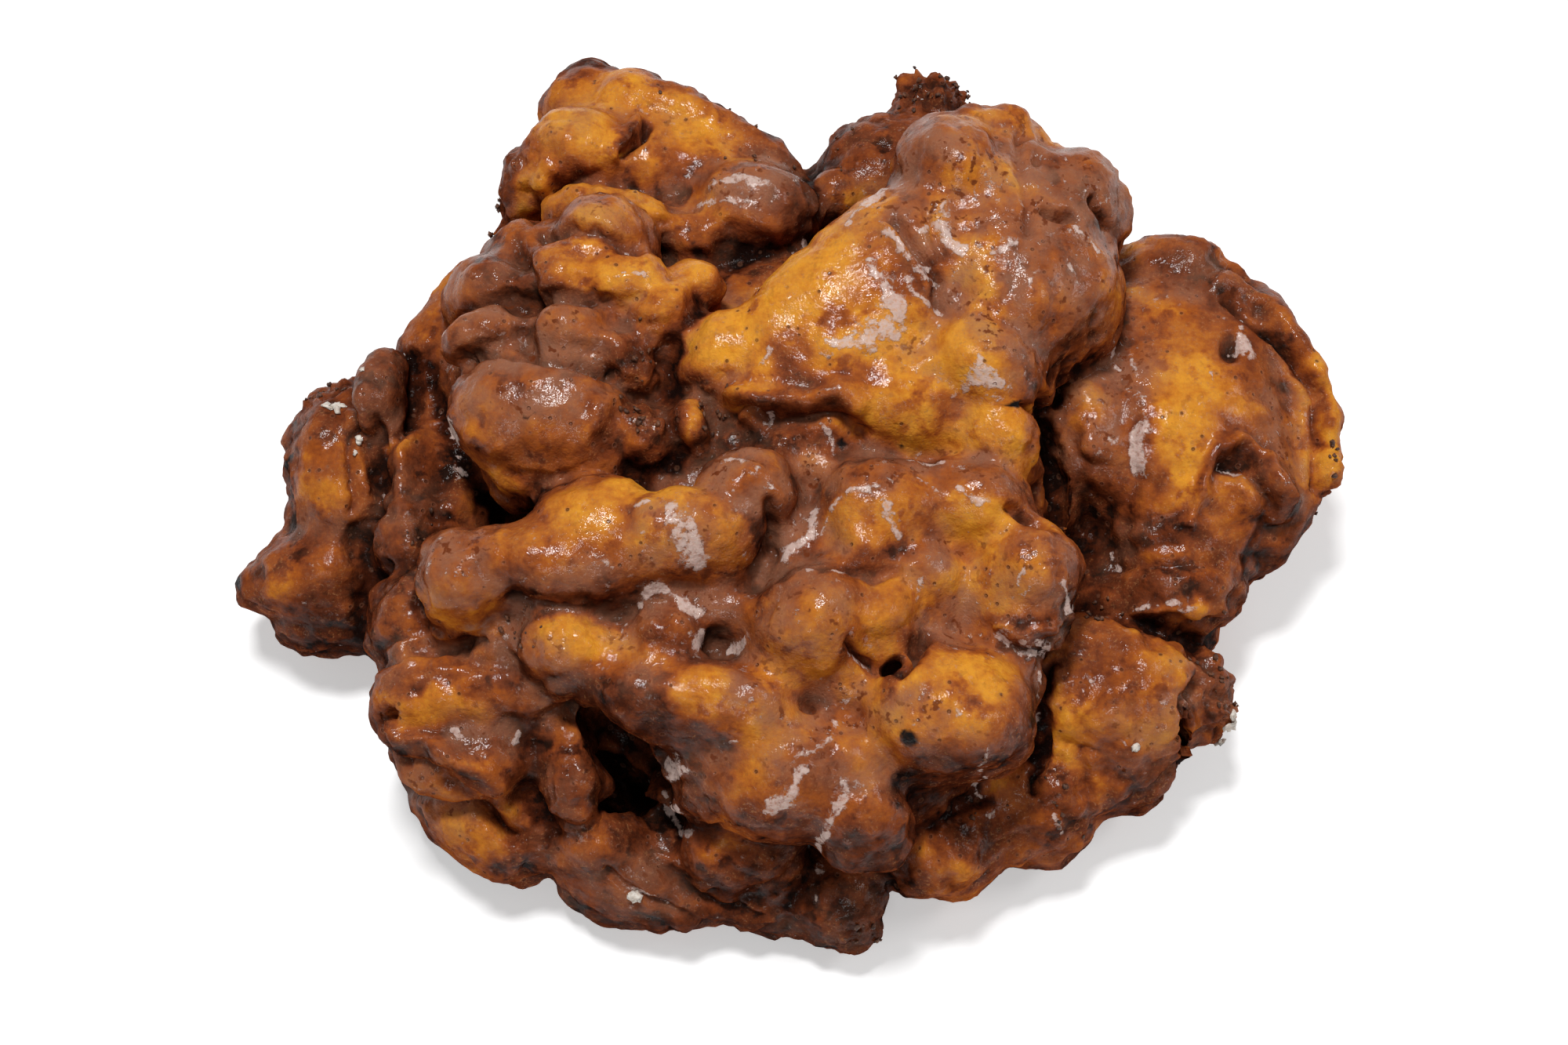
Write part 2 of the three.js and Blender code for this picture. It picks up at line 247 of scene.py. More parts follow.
# Bun at the back with its crumbly top end.
BACK_BUN: tuple[Lump, ...] = (
    Knob((22, 60, 18), (18, 14, 16), square=2.3),
    Knob((9, 54, 20), (7, 7, 14)),
    Knob((28, 75, 24), (7.5, 6, 8)),
    Knob((41, 63, 20), (7, 9, 14)),
)

# Golden slab at the back left with a brown end, a torn corner and a dark glossy lump.
BACK_LEFT: tuple[Lump, ...] = (
    Knob((-37, 72, 25), (10, 9.5, 12)),
    Knob((-28, 69, 29), (9, 9, 11)),
    Roll((-42, 56, 28), (-4, 51, 26), 11, 14, bow=4),
    Roll((-27, 73, 32), (2, 56, 27), 6, 9),
    Knob((-37, 59, 35), (9, 8, 9), square=2.4),
    Knob((-48, 53, 27), (6.5, 8, 11)),
    Roll((-50, 46, 27), (-57, 46, 25), 1.6, 1.6),
    Knob((-45, 57, 37), (3.2, 1.3, 2.6), turn=25),
    Knob((-44, 51, 37), (2.2, 3.4, 3)),
    Knob((-7, 48.5, 31), (14, 10, 14.5), turn=-5),
    Knob((-16, 43, 31), (9, 6.5, 11)),
    Knob((2, 50, 22), (7, 7, 13)),
)

# Cluster of small knobs on the left of the crown over one large smooth lobe.
LEFT_CLUSTER: tuple[Lump, ...] = (
    Knob((-38, 14, 26), (24, 27, 20)),
    Knob((-31, 34, 46), (10.5, 9, 13)),
    Knob((-38, 26, 48), (7.5, 7.5, 11)),
    Knob((-27, 25, 49), (9, 6.5, 10), turn=-10),
    Knob((-20, 19, 48), (6.5, 6.5, 10)),
    Knob((-15, 26, 47), (5, 4, 7)),
    Knob((-50, 24, 42), (9, 8.5, 13)),
    Knob((-45, 32, 39), (9, 8, 13)),
    Knob((-50, 14, 50), (8, 5, 7.5), turn=20),
    Knob((-36, 15, 51), (8, 6, 8)),
    Knob((-27, 12, 47), (6.5, 6, 9)),
    Knob((-41, 1, 47), (15.5, 9.5, 13), square=2.3),
    Roll((-54, -2, 42), (-26, -4, 42), 6, 10, bow=-5),
    Knob((-25, -1, 44), (5.5, 5.5, 10)),
    Knob((-19, 6, 39), (7, 10, 10)),
    Knob((-16, 1, 45), (3.8, 5.5, 8)),
    Knob((-20, -10, 36), (11, 8, 10)),
)

# Lumps down the left side: a slope, a dark oval, a folded plate and a pointed end.
LEFT_SIDE: tuple[Lump, ...] = (
    Roll((-49, 40, 24), (-65, 14, 22), 10, 14),
    Knob((-70, 12, 35), (4.7, 8.2, 6.5), turn=-10),
    Knob((-62, 14, 25), (7, 9, 8)),
    Knob((-79, 2, 17), (11.5, 17, 17), square=2.3),
    Knob((-76, 12, 20), (9, 7, 12), square=2.4),
    Roll((-77, 7, 27), (-77, -13, 26), 5.5, 8),
    Roll((-67, 10, 28), (-65, -20, 24), 5.5, 10),
    Knob((-66, -13, 31), (5, 8, 5.5)),
    Knob((-60, -2, 20), (9, 20, 15)),
    Roll((-72, -15, 18), (-94, -18, 18), 8, 11),
    Knob((-90, -18, 18), (8, 5, 8), turn=10),
    Knob((-80, -24, 11), (12, 6, 10), square=2.3),
)

# Long ridge across the front of the crown.
CROWN_RIDGE: tuple[Lump, ...] = (
    Roll((-55, -26, 46), (-6, -22, 46), 8.4, 13),
    Knob((-53, -28, 43), (7, 9, 12), turn=15, square=2.3),
    Knob((-33, -19, 48), (11, 8, 12), square=2.3),
    Knob((-18, -22, 50), (13, 7.5, 11), square=2.4),
    Knob((-7, -14, 49), (8.5, 8, 10)),
    Knob((-47, -35, 34), (7.5, 7, 11)),
)

# Rounded lumps at the front right of the crown.
CROWN_LUMPS: tuple[Lump, ...] = (
    Knob((16, -17, 48), (12, 8.5, 11), square=2.3),
    Knob((13, -24, 50), (6, 5.5, 7)),
    Knob((30, -15, 46), (11, 8, 12), square=2.3),
    Knob((40, -27, 43), (9.5, 10.5, 14)),
    Knob((40, -35, 46), (7.5, 5.5, 8)),
    Knob((5, -36, 46), (11.5, 10.5, 13)),
    Knob((17, -36, 47), (6.5, 6, 8)),
    Knob((22, -29, 44), (10, 6, 10)),
    Knob((28, -50, 40), (13.5, 10.5, 15), square=2.5),
    Knob((37, -42, 36), (8, 7, 12)),
)

# Golden saddle and ridge that run down to the knob at the very front.
FRONT_TONGUE: tuple[Lump, ...] = (
    Knob((-33, -38, 40), (12, 8.5, 13)),
    Knob((-19, -36, 46), (6.5, 5.5, 8)),
    Roll((-31, -42, 42), (5, -54, 41), 7.5, 12, bow=1),
    Knob((0, -57, 35), (14, 11, 15), square=2.2),
    Knob((-9, -56, 29), (9.5, 9, 17)),
    Knob((9, -57, 37), (9, 9, 11)),
    Knob((12, -65, 34), (8.8, 8, 11)),
)

# Front left corner: a spout-shaped lobe over a fan of folds and a low bun.
FRONT_LEFT: tuple[Lump, ...] = (
    Knob((-59, -29, 23), (12, 11, 15), square=2.3),
    Roll((-69, -32, 28), (-52, -33, 31), 4, 7, bow=-1),
    Roll((-70, -44, 28), (-36, -43, 31), 8, 11),
    Roll((-66, -48, 26), (-43, -56, 27), 6, 8, bow=-2),
    Knob((-52, -56, 11.5), (17, 11.5, 12), turn=-40, square=2.4),
    Knob((-64, -46, 16), (6, 7, 12)),
    Knob((-37, -57, 26), (5, 9, 8), lean=-20),
    Knob((-36, -51, 24), (7, 8, 10)),
)

# Dark low pieces along the front of the foot.
FRONT_FOOT: tuple[Lump, ...] = (
    Knob((-22, -69, 8), (18, 9.5, 11), turn=-10, square=2.3),
    Knob((-33, -66, 14), (8, 7, 9)),
    Knob((-2, -73, 7), (13, 7.5, 9)),
    Knob((-8, -66, 17), (11.5, 8, 10), square=2.2),
    Knob((8, -71, 8), (9, 9, 9), square=2.4),
    Knob((12, -74, 7), (6, 5.5, 6), square=2.4),
    Knob((19, -62, 13), (9, 7, 11)),
)

# Front right corner bun with a crumbly outer end.
FRONT_RIGHT: tuple[Lump, ...] = (
    Knob((56, -42, 19), (15, 14, 16), square=2.4),
    Knob((52, -36, 24), (8, 7, 12)),
    Knob((67, -38, 19), (6, 7.5, 13)),
    Knob((73, -39, 15), (6, 8.5, 10)),
    Knob((56, -51, 14), (12, 9.5, 12), square=2.3),
    Knob((42, -57, 13), (14, 9.5, 13)),
    Knob((27, -65, 13), (11, 8.5, 12)),
)

# Low dough and pooled glaze that fill the valleys of the crown.
CROWN_VALLEYS: tuple[Lump, ...] = (
    Knob((-28, -32, 41.5), (11, 5, 8)),
    Knob((-10, -32, 43), (11, 5, 8)),
    Knob((3, -24, 44), (7, 9, 8)),
    Knob((6, -8, 44.5), (15, 6, 7.5)),
    Knob((28, -31, 42), (9, 7, 8)),
    Knob((13, -30, 44), (6, 4, 8)),
    Knob((-19, 20, 38), (6, 10, 8)),
    Knob((-30, 44, 34), (14, 6, 12)),
    Knob((-17, 45, 33), (9, 6, 9)),
    Knob((-24, 13, 38), (7, 6, 9)),
    Knob((25, -37, 40), (9, 7, 9)),
    Knob((12, -44, 40), (8, 6, 9)),
)

# Clefts and small hollows between the lumps.
CLEFTS: tuple[Lump, ...] = (
    Roll((19, 46, 66), (29, 17, 65), 2, 5, bow=-1),
    Roll((43, 52, 62), (41, 42, 62), 1.6, 5),
    Roll((83, 37, 36), (91, 2, 38), 1.5, 5, bow=4),
    Roll((-29, -49, 40), (-24, -60, 24), 6, 13),
    Roll((-36, -51, 18), (-24, -60, 14), 5, 7),
    Knob((-64, -48, 36), (2, 1.6, 4)),
    Knob((80.5, 20.5, 41), (2.8, 4.4, 6), turn=-20),
    Roll((44, 6, 44), (47, -18, 42), 3.3, 15),
    Roll((46, -18, 40), (56, -30, 36), 2.2, 12),
    Knob((41, -0.5, 50), (4.5, 1.2, 8), turn=-8),
    Roll((17.5, -45.5, 52), (20.5, -42.5, 52), 1.3, 8),
    Knob((5, -49.5, 50), (2.2, 1.6, 6)),
    Knob((67, -48, 20), (2.2, 4, 12)),
)


# ---------------------------------------------------------------- marks on the skin

def smooth(value: np.ndarray, low: float, high: float) -> np.ndarray:
    """Smooth step from 0 at low to 1 at high; low may be the larger.

    Args:
        value: Values to step.
        low: Value at which the step is 0.
        high: Value at which the step is 1.

    Returns:
        The step at each value, 0 to 1.
    """
    share = np.clip((value - low) / (high - low), 0, 1)
    return share * share * (3 - 2 * share)


class Mark(ABC):
    """A mark on the skin, placed as seen from above."""

    @abstractmethod
    def weight(self, across: np.ndarray, back: np.ndarray) -> np.ndarray:
        """Work out how strong the mark is.

        Args:
            across: Places to the right, in millimetres.
            back: Places to the back, in millimetres.

        Returns:
            Strength of the mark at each place.
        """


@dataclass(frozen=True)
class Patch(Mark):
    """An oval area of the skin with a soft edge."""

    centre: Spot
    radii: Spot
    strength: float = 1.0
    turn: float = 0.0

    def weight(self, across: np.ndarray, back: np.ndarray) -> np.ndarray:
        """Full inside 55 percent of the oval, then a smooth fall to nothing at 145 percent.

        Args:
            across: Places to the right, in millimetres.
            back: Places to the back, in millimetres.

        Returns:
            Weight of the patch at each place, 0 to its strength.
        """
        outer, inner = 1.45, 0.55
        turn = math.radians(self.turn)
        x = across - self.centre[0]
        y = back - self.centre[1]
        long = (x * math.cos(turn) + y * math.sin(turn)) / self.radii[0]
        short = (y * math.cos(turn) - x * math.sin(turn)) / self.radii[1]
        return self.strength * smooth(np.sqrt(long ** 2 + short ** 2), outer, inner)


@dataclass(frozen=True)
class Stroke(Mark):
    """A line on the skin: a fold, a groove or a streak of dried glaze."""

    path: tuple[Spot, ...]
    width: float
    height: float = 1.0

    def weight(self, across: np.ndarray, back: np.ndarray) -> np.ndarray:
        """Bell curve of the distance to the nearest part of the line, times the height.

        Args:
            across: Places to the right, in millimetres.
            back: Places to the back, in millimetres.

        Returns:
            Height of the stroke at each place.
        """
        nearest = np.full(across.shape, np.inf)
        for (x0, y0), (x1, y1) in zip(self.path[:-1], self.path[1:]):
            dx = x1 - x0
            dy = y1 - y0
            share = ((across - x0) * dx + (back - y0) * dy) / (dx * dx + dy * dy + FINE)
            share = np.clip(share, 0, 1)
            gap = (across - x0 - share * dx) ** 2 + (back - y0 - share * dy) ** 2
            nearest = np.minimum(nearest, gap)
        return self.height * np.exp(-nearest / self.width ** 2)


def patches(*rows: tuple[float, ...]) -> tuple[Patch, ...]:
    """Patches from rows of middle x and y, half sizes, strength and, where it is turned, the angle."""
    return tuple(Patch(row[:2], row[2:4], *row[4:]) for row in rows)


def strokes(*rows: tuple[float | Spot, ...]) -> tuple[Stroke, ...]:
    """Strokes from rows of width and height, then the line's points."""
    return tuple(Stroke(row[2:], row[0], row[1]) for row in rows)


def strongest(marks: tuple[Mark, ...], across: np.ndarray, back: np.ndarray) -> np.ndarray:
    """Largest weight of any of the marks at each place.

    Args:
        marks: The marks.
        across: Places to the right, in millimetres.
        back: Places to the back, in millimetres.

    Returns:
        Largest weight at each place, at least 0.
    """
    best = np.zeros(len(across))
    for mark in marks:
        best = np.maximum(best, mark.weight(across, back))
    return best


# Golden places, where the crust lay shielded from the oil.
GOLD = patches(
    (4, 22, 15, 10, 1, 38), (-9, 13, 9, 7), (14, 11, 14, 6), (26, 5, 11, 5, 0.95, -8),
    (31, -3, 9, 4.5, 1, -12), (37, -7, 3.5, 4.5, 0.9), (-5, 4, 5, 4.5, 0.8), (12, 31, 4, 8, 0.8, -30),
    (19, -2.5, 8, 3, 0.9, -12), (14, 40, 3, 5, 0.4, -20), (45, 18.5, 3, 2, 0.5), (53, 28.5, 3, 2, 0.5),
    (30, 26, 2.5, 2.5, 0.2), (-26, 21.5, 6.5, 4.5), (-36, 24, 3.5, 5, 0.55), (-27, 31, 4, 2, 0.2),
    (-15, 26, 4, 4, 0.5), (-22, 15, 4, 3, 0.45), (-15, -1, 2.5, 4, 0.8), (-52, -2, 4, 5, 0.4),
    (-40, -9, 12, 2.5, 0.3), (-31, 70, 8, 7, 0.9), (-37, 60, 8, 6, 0.95), (-32, 57, 4, 4),
    (-22, 66, 8, 4.5, 0.8, -20), (-11, 60, 9, 3.5, 0.8, -30), (-45, 50, 3, 4, 0.8), (-22, 57, 6, 4, 0.5),
    (-43, 69, 5, 6, 0.45), (-55, 46, 3, 2, 0.8), (16, 49, 4, 2, 0.5), (36, 60, 4, 3, 0.15),
    (69, 0, 4.5, 11, 1, -5), (71, 12, 7, 6), (78, 9, 5, 3.5, 0.6, -10), (71, 20, 5, 5, 0.4),
    (66, 26, 4, 3, 0.25), (80, -6, 3.5, 2.5, 0.5), (76, -11, 3.5, 4, 0.4), (61, -19, 4, 2.5, 0.4),
    (70, -18.5, 5, 2, 0.35), (81, 38, 3, 3, 0.5), (93, 9, 3.5, 8, 0.5), (-33, -20, 6, 6.5, 0.85, 10),
    (-22, -15.5, 9, 2.8, 0.95), (-12, -26, 5, 5, 0.55), (-21, -25, 6, 3.5, 0.6), (-18, -30, 7, 2.2, 0.45),
    (-44, -23, 5, 4, 0.25), (-32, -39, 8, 4), (-36, -43, 5, 3, 0.4), (-25, -42.5, 5, 3, 0.5),
    (-13.5, -48, 4, 5, 0.85, -10), (-3, -53, 6, 2.2, 0.6, -15), (-5, -60, 7, 3, 0.4),
    (12, -65, 4, 2.5, 0.4), (14, -20, 6, 5, 0.7), (9, -22, 4, 4, 0.65), (30, -20, 6, 3.5, 0.95, -20),
    (22, -16, 6, 3, 0.35), (20, -31, 6, 3, 0.55), (29, -28, 2.5, 5, 0.55), (18, -37, 4, 4.5, 0.5),
    (3, -44, 8, 4, 0.65), (6, -38, 6, 4, 0.5), (13, -48, 5, 3, 0.3), (33, -36, 5, 3, 0.35),
    (-17, 45, 5, 3, 0.4), (54, -4, 4, 6, 0.25), (-42, -7, 10, 2.5, 0.2), (-58, -33, 5, 3, 0.3),
    (-3, -38, 4, 6, 0.4), (31, -46, 7, 4, 0.95), (25, -53, 7, 2.5, 0.5), (40, -29, 5, 4, 0.55),
    (-67, 1.5, 3, 2.6, 0.9), (-81, -6, 5, 4, 0.55), (-88, -21, 4, 3, 0.5), (-61, 31, 7, 11, 0.2, 20),
    (-58, -47.5, 10, 2.4, 0.7), (-62, -38, 4, 3, 0.35), (-54, -58, 5, 4, 0.45, -40),
    (-56, -66, 6, 5, 0.45, -40), (-46, -65, 3, 4, 0.35), (-10, -68, 5, 2.5, 0.45),
    (61, -37.5, 5, 1.8, 0.4), (47, -53, 2.6, 4, 0.6), (25, -70, 4, 4, 0.4), (52, -58, 5, 2.5, 0.35),
)

# Places left longest in the oil, and painted shade: dark lines in the creases and dark patches under
# overhangs and on the low front.
DARK = patches(
    (46, 32.3, 3.5, 1.1, 0.8), (54.5, 35, 1.3, 2.4, 0.8), (21, 33, 2.5, 3.5, 0.5),
    (25, 24, 3, 4, 0.55, -30), (32, 45, 5, 3, 0.3), (8, 13.5, 2.2, 1.6, 0.6), (2.5, 5, 4.2, 2.6, 0.6),
    (14, 24, 2.6, 3.4, 0.3), (26, 0.8, 3, 2, 0.5), (-1, -2, 8, 2.4, 0.45), (9, -4, 7, 2.4, 0.45),
    (25.5, -0.5, 2.2, 1.6, 0.35), (-2, 36, 5, 2.2, 0.4, 40), (4, -5, 9, 2.6, 0.7), (-4, -5, 6, 2.6, 0.85),
    (44, -58, 7, 4, 0.65), (30, -66, 6, 4, 0.85), (57, -35, 6, 2, 0.35), (4, -60, 8, 4, 0.3),
    (-13, -61, 6, 5, 0.35), (56, -43, 10, 6, 0.3), (33, 35, 7, 6, 0.25), (27, 44, 7, 8, 0.25),
    (50, 40, 8, 9, 0.25), (48, 24, 8, 7, 0.2), (-38, 77, 6, 5, 0.45), (-46, -53, 7, 4, 0.45),
    (19, -8.5, 8, 1.3, 0.5), (-9, -4, 4, 2, 0.6), (69, 38, 11, 5.5, 0.6), (79, 31, 3, 2, 0.7),
    (53, -8, 4, 8, 0.55), (57, -13, 5, 4, 0.6), (66, -15.5, 8, 2.4, 0.6), (76, -17, 4, 3, 0.45),
    (66, -24, 12, 4, 0.7), (55, -20, 4, 6, 0.9), (92, 20, 2, 6, 0.4), (-49, 25, 6, 5, 0.6),
    (-47, 21, 6, 1.3, 0.6), (-49, 13, 6, 3, 0.3), (-24, 9, 7, 3, 0.8), (-22, 0, 4, 5, 0.7),
    (-33, 6, 7, 1.3, 0.3), (-18, 12, 2.5, 4, 0.6), (-46, 8, 7, 1, 0.6), (-28, -3, 3, 4, 0.3),
    (-70, 12, 4.5, 8, 0.7, -10), (-80, 7, 4, 5, 0.5), (-86, 8, 3, 5, 0.5), (-62, -6, 5, 9, 0.7),
    (-68, -8, 5, 7, 0.45), (-57, 8, 2, 10, 0.5), (-60, -14, 4, 5, 0.95), (-79, -28, 10, 4),
    (-72, -24, 5, 6, 0.85), (-84, -16, 3, 2.5, 0.35), (-66, -22, 4, 7, 0.6), (-97, -19, 2, 2.5, 0.8),
    (-77, 15, 5, 2, 0.7, 30), (-63, 15, 3, 5, 0.5), (-35, 79, 7, 3, 0.85), (-51, 51, 4, 5, 0.75),
    (-17, 54, 6, 2.5, 0.5, -20), (-3, 57, 6, 2, 0.6, -25), (2, 48, 5, 5, 0.7), (-14, 52, 4, 3, 0.2),
    (-8, 38, 9, 1.6, 0.6), (20, 60, 12, 9, 0.5), (29, 75, 9, 6, 0.85), (40, 60, 6, 6, 0.45),
    (30, 56, 5, 3, 0.7), (-19, -38, 4, 2.2, 0.5), (-2, -21.5, 2, 2.5, 0.6), (14, -27.5, 4, 1.8, 0.5),
    (38, -20, 2, 1.5, 0.9), (39, -36, 4, 1.5, 0.45), (5, -49.5, 3, 2, 0.85), (18, -45, 2.5, 2.5, 0.9),
    (23, -40, 3, 2.5, 0.8), (12, -43.5, 2, 1.5, 0.5), (-12, -41, 6, 1.5, 0.6), (27, -34, 4, 1.5, 0.4),
    (-20, -31, 10, 1.6, 0.2), (-42, -30, 3, 5, 0.35), (-32, -34.5, 6, 1.2, 0.6), (-8, -31, 5, 2, 0.4),
    (-47, -40, 6, 2.5, 0.45), (-56, -38, 4, 2, 0.2), (-18, -56, 5, 6, 0.8), (-14, -64, 5, 4, 0.65),
    (0, -67, 9, 2.3, 0.6), (13, -67, 5, 4, 0.35), (14, -69, 5, 2.5, 0.3), (12, -58, 4, 3, 0.25),
    (-28, -54, 8, 8), (-24, -62, 6, 5, 0.9), (-41, -54, 5, 5, 0.4), (-38, -62, 4, 5, 0.6),
    (-64, -42, 5, 3, 0.4), (-44, -66, 3, 4, 0.7), (-28, -72, 12, 6, 0.6), (-12, -78, 12, 3, 0.7),
    (8, -75, 11, 6, 0.85), (-4, -73, 5, 4, 0.85), (20, -62, 6, 4, 0.9), (30, -59.5, 6, 2, 0.85),
    (74, -41, 5, 7, 0.75), (68, -48, 2, 4, 0.9), (36, -66, 6, 5, 0.6), (46, -66, 5, 3, 0.4),
    (43, -48, 1.6, 10, 0.7), (60, -56, 7, 4, 0.45), (51, -62, 4, 2, 0.6), (20, -73, 3, 4, 0.5),
    (64, -33, 8, 1.5, 0.5),
) + strokes(
    # Dark lines along the grooves: painted shade in the creases.
    (0.8, 0.6, (-74, 4), (-76, 10), (-75.5, 17), (-72, 21)),
    (0.8, 0.6, (-67, 3), (-64.5, 9), (-65, 16), (-68, 21)),
    (1.0, 0.9, (75, -0.5), (78, -1.2), (82.5, -4), (85, -9), (84, -13)),
    (0.8, 0.45, (75, -1), (73.5, -5), (72, -9)),
    (0.9, 0.6, (-57, 9), (-50, 9.5), (-44, 8), (-36, 7), (-28, 6)),
    (1.0, 0.6, (-41.5, 18), (-43.5, 14), (-42.5, 9)),
    (0.9, 0.6, (-56, 19), (-47, 21), (-41, 18.5), (-31, 18)),
    (1.1, 0.4, (-46, 32), (-44.5, 27), (-43, 23), (-43.5, 19)),
    (0.9, 0.5, (-41, 33), (-34, 30), (-25, 29.5)), (1.2, 0.35, (38, 38), (40, 33), (40, 27)),
    (1.2, 0.7, (-67, 4), (-69, -3), (-68, -11)),
    (1.2, 0.8, (79, 28), (83, 24.5), (88, 21), (91.5, 17), (94, 11), (94.5, 4)),
    (1.0, 1, (-25, 62), (-25, 59), (-29, 55)), (1.2, 0.6, (-67, -52), (-61, -54), (-54, -58), (-47, -62)),
)

# Deep clefts between the lumps, painted near black as shade.
SHADE = strokes(
    (3.2, 1, (58, 38), (56, 24), (50, 13), (45, 3), (42, -7), (47, -13), (51, -20), (54, -28)),
    (1.7, 1, (54, -29), (64, -31.5), (76, -31)),
    (1.6, 1, (1, 42), (-7, 36), (-15, 24), (-18, 12), (-19, 4)),
    (3.0, 1, (-66, 22), (-60, 11), (-56, 0), (-56, -10), (-60, -20), (-62, -28)),
    (1.8, 1, (-55, -6), (-44, -12), (-34, -14), (-24, -9), (-16, -5)),
    (2.2, 1, (-5, 39), (0, 43), (5, 52), (8, 60)),
    (4.0, 1, (-28, -49), (-24, -54), (-28, -60), (-40, -62)), (2.0, 1, (-19, -60), (-16, -66)),
    (1.8, 1, (20, -59), (25, -63), (33, -61), (43, -56), (44, -42), (49, -33)),
    (1.6, 0.8, (-68, -39), (-66, -30), (-62, -25)),
    (1.6, 0.7, (-52, 46), (-44, 48), (-34, 46), (-29, 45)),
    (1.2, 0.6, (-77, -14), (-84, -24), (-92, -24)), (2.4, 0.8, (4, -69), (8, -73), (18, -72)),
    (3.0, 0.7, (-84, -28), (-76, -27.5), (-70, -25)), (3.0, 1, (44, 2), (44, -8), (46, -14)),
)

# Burnt specks and dark bubbles.
BURNT = patches(
    (-43, -3.6, 0.7, 0.9, 0.9), (-41.5, -3.2, 0.9, 0.4, 0.8), (10, -4.6, 1.7, 0.9),
    (18.8, -4.8, 0.6, 0.5, 0.9), (20, -56, 1.4, 1.3, 0.95), (38, -0.5, 2.0, 0.7), (-88, 1.5, 1.2, 1.4),
    (83, -17, 0.8, 1.0, 0.8), (95, -3, 0.8, 1.6, 0.45), (29, 48, 1.8, 0.7, 0.55),
    (70, 35.5, 0.7, 0.5, 0.8), (-25.2, 60, 0.7, 1.8, 0.7, -10), (-97, -19, 1.0, 1.6, 0.9),
    (-61, -13, 1.6, 1.6, 0.5), (18, -45, 1.2, 1.2, 0.8), (47, -32, 1.0, 0.8, 0.6),
)

# Milky glaze that lies thickest on the tops of the crown.
MILK = patches(
    (28, 38, 15, 15), (50, 38, 13, 14, 1.1), (47, 24, 12, 9, 0.9), (35, 18, 9, 8, 0.9),
    (37, 55, 9, 6, 0.6), (37, 7, 4, 5, 0.7), (14, 24, 3, 4, 0.6), (-41, 2, 13, 7), (-49, 14, 7, 5, 0.8),
    (-36, 12, 7, 6, 1.2), (-50, 26, 8, 6, 0.7), (-31, 36, 8, 5, 0.5), (-5, -15, 9, 7),
    (-19, -25, 6, 5, 0.8), (-54, -29, 7, 9, 0.95, 20), (-46, -35, 7, 6), (-32, -32, 8, 3, 0.7),
    (-17, -33, 10, 3, 0.9), (-8, -39, 6, 4, 0.9), (2, -24, 6, 8, 0.9), (4, -38, 7, 6, 0.7),
    (14, -11, 16, 4, 0.8), (28, -12, 10, 4, 0.7), (24, -27, 4, 6, 0.7), (41, -29, 7, 6, 0.6),
    (28, -36, 7, 4, 0.8), (40, -44, 4, 5, 0.8), (20, -52, 6, 4, 0.7), (27, -58, 9, 3, 0.5),
    (10, -50, 6, 4, 0.8), (4, -57, 7, 5, 0.8), (-6, -50, 5, 4, 0.8), (-22, -47, 4, 4, 0.6),
    (-37, -44, 5, 4, 0.6), (12, -60, 6, 4, 0.8), (-14, -60, 7, 6, 0.6), (53, 4, 6, 9, 0.9),
    (60, 14, 6, 8, 0.6), (88, 2, 5, 14, 0.8), (70, 36, 10, 7, 0.7), (58, -15, 6, 4, 0.5),
    (70, -26, 10, 3, 0.3), (-71, 11, 4.5, 7, 0.9), (-66, -10, 5, 8, 0.5), (-80, -12, 6, 3, 0.6),
    (-50, -52, 9, 5, 0.6), (-38, -62, 4, 5, 0.6), (-62, -62, 8, 10, 0.7, -40), (-66, -40, 5, 6, 0.5),
    (-28, -73, 12, 6, 0.9), (8, -76, 10, 5, 0.5), (-6, 50, 13, 7, 1.1), (-40, 63, 8, 6, 0.5),
    (-46, 50, 4, 4, 0.5), (18, 52, 7, 3, 0.6), (66, -43, 5, 6, 0.8), (60, -50, 8, 5, 0.6),
    (48, -41, 4, 4, 0.5), (76, -40, 5, 6, 0.9),
)
